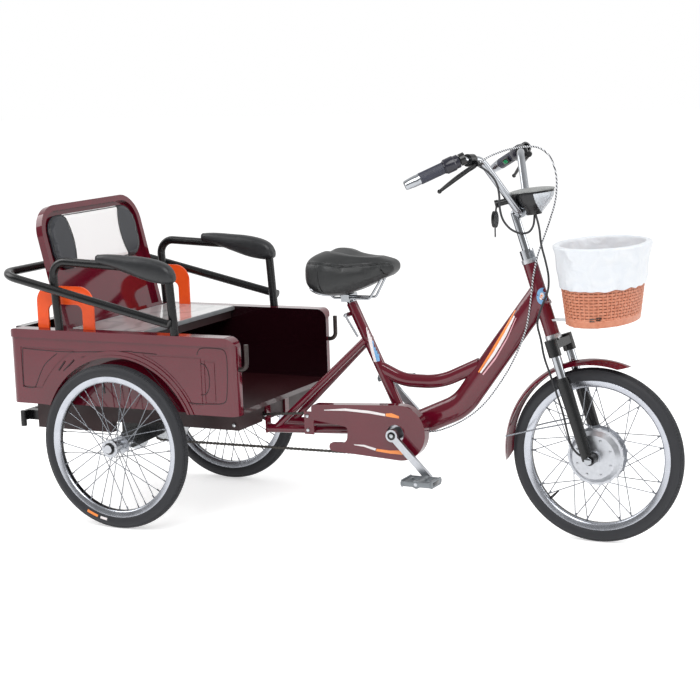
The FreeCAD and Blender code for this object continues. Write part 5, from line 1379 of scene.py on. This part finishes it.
# printed streaks and plates with nothing written on them: (x from the rear axle, z) in mm
stickerSet = [
    ("tube_streak_low", "stickerOrange", "down_tube", -0.06,
     [(1031, 468), (1069, 527), (1109, 591), (1143, 649)],
     [(1035, 466), (1076, 524), (1115, 586), (1145, 646)]),
    ("tube_streak_middle", "stickerWhite", "down_tube", -0.06,
     [(1037, 467), (1077, 524), (1113, 583), (1141, 634)],
     [(1041, 465), (1084, 519), (1119, 575), (1145, 630)]),
    ("tube_streak_high", "stickerPink", "down_tube", -0.06,
     [(1045, 462), (1086, 514), (1122, 572), (1147, 626)],
     [(1048, 460), (1087, 508), (1124, 569), (1151, 628)]),
    ("seat_band_white", "stickerWhite", "seat_tube", -0.06,
     [(677, 579), (702, 480)], [(684, 582), (711, 481)]),
    ("seat_band_blue", "stickerBlue", "seat_tube", -0.06,
     [(684, 582), (711, 481)], [(692, 585), (720, 483)]),
    ("guard_streak_pale", "stickerWhite", "chain_guard", -0.12,
     [(573, 343), (642, 346), (720, 343), (770, 338)],
     [(573, 345), (642, 353), (720, 351), (770, 345)]),
    ("guard_streak_orange", "stickerOrange", "chain_guard", -0.12,
     [(772, 338), (790, 336), (814, 334)], [(772, 346), (790, 348), (814, 341)]),
    ("guard_low_white", "stickerWhite", "chain_guard", -0.12,
     [(667, 246), (700, 243), (735, 234)], [(667, 248), (700, 249), (738, 241)]),
    ("guard_low_orange", "stickerOrange", "chain_guard", -0.12,
     [(737, 233), (780, 229), (822, 228)], [(740, 240), (782, 238), (822, 241)]),
]
for name, look, target, side, low, high in stickerSet:
    low, high = ([(axleX + x / 1000, z / 1000) for x, z in line] for line in (low, high))
    film = sticker(name, low, high, side, nodes[target])
    place(film, look, "frame", "maroon_paint")


# each part: name, look, width, height and how far it stands proud
badgeSet = {"x": 0.613, "z": 0.69, "parts": [
    ("badge", "stickerBlue", 0.026, 0.0455, 0.0),
    ("badge_disc", "stickerWhite", 0.011, 0.02, 0.0004),
    ("badge_dot", "stickerOrange", 0.005, 0.008, 0.0008)]}


def makeBadge():
    # oval enamel badge where the down tube meets the head: blue, with a pale disc
    for name, look, wide, tall, lift in badgeSet["parts"]:
        low, high = [], []
        for i in range(13):
            x = math.cos(math.pi * (1 - i / 12)) * 0.995
            drop = math.sqrt(1 - x * x)
            for line, side in ((low, -1), (high, 1)):
                line.append((badgeSet["x"] + x * wide / 2,
                             badgeSet["z"] + side * drop * tall / 2))
        film = sticker(name, low, high, -0.06, nodes["down_tube"], 2, nodes["head_tube"])
        for vertex in film.data.vertices:
            vertex.co.y -= lift
        place(film, look, "frame", "maroon_paint")


makeBadge()

# pressed lines of the side panels, and the panels' slots, in mm as above
beadSet = {"radius": 0.0014, "slot": 0.0028, "y": 0.3078, "lines": [
    [(-334, 523), (-338, 470), (-339, 408), (-334, 403), (-300, 403), (-293, 408), (-271, 456),
     (-248, 487), (-209, 512)],
    [(-334, 523), (-209, 516), (-62, 524), (60, 531)],
    [(-120, 505), (-79, 514), (-9, 524), (40, 520), (88, 497), (123, 466), (172, 414),
     (214, 368)],
    [(61, 528), (100, 528), (143, 526)],
    [(125, 500), (167, 446), (210, 396), (222, 390), (266, 387), (345, 389), (368, 395),
     (374, 412), (379, 477), (379, 530), (372, 548), (355, 552), (300, 552), (284, 546),
     (280, 530)],
    [(291, 506), (318, 504), (318, 412), (288, 414)]],
    "slots": [((-181, 490), (-205, 462)), ((-149, 495), (-187, 460))]}


def makeBeads():
    for side, name in bothSides:
        lines, slots = ([[(axleX + x / 1000, side * beadSet["y"], z / 1000) for x, z in line]
                         for line in beadSet[key]] for key in ("lines", "slots"))
        beads = join([tube("bead", line, beadSet["radius"], 2, 5) for line in lines],
                     name + "_panel_beads")
        place(beads, "grooveEnamel", "frame", "maroon_panel")
        # the slots are dark rods in the same painted shade as the lines
        slots = [rod("slot", *ends, beadSet["slot"], 10) for ends in slots]
        slots = join(slots, name + "_panel_slots")
        place(slots, "grooveEnamel", "frame", "maroon_panel", angle=40)


makeBeads()

# rubber edge of the seat board, along its front and rear
edges = join([slab("board_edge", (0.0042, 0.5296, 0.014), (x, 0, 0.578), 0.0018, 3)
              for x in (-0.7872, -0.5351)], "board_edges")
place(edges, "edgeTrim", "frame", "board")

# coloured strips on the right tyre's wall: name, look, turn and width in degrees, and the
# corners of their section as (radius, distance from the wheel's middle)
markSet = {"strips": [("tyre_mark_orange", "stickerOrange", 248, 10),
                      ("tyre_mark_white", "stickerWhite", 258.5, 6)],
           "section": [(0.2185, 0.0187), (0.2255, 0.0203), (0.2255, 0.0197), (0.2185, 0.0181)]}
for name, look, turn, wide in markSet["strips"]:
    rings = []
    for i in range(11):
        a = math.radians(turn - wide / 2 + wide * i / 10)
        rings.append([Vector((axleX + radius * math.cos(a), -trackHalf - out,
                              axleZ + radius * math.sin(a)))
                      for radius, out in markSet["section"]])
    place(loft(name, rings), look, "right_wheel", "tyre", angle=40)
print("prints, lines and trim made")

bevelSet = {"crankset": 0.002, "axle_brackets": 0.0015, "tail_bar": 0.002, "chassis": 0.0015,
            "seat_board": 0.001, "grab_handles": 0.002, "gate_latches": 0.0008,
            "backrest_frame": 0.003, "chain_guard": 0.0012, "basket_bracket": 0.0008,
            "brake_levers": 0.0008, "fork_crown": 0.001, "box_rear_wall": 0.002}
for name, width in bevelSet.items():
    edge = nodes[name].modifiers.new("edge", "BEVEL")
    edge.width = width
    edge.segments = 2
    edge.limit_method = "ANGLE"
    edge.angle_limit = math.radians(50)
    edge.harden_normals = False
print("edges softened")
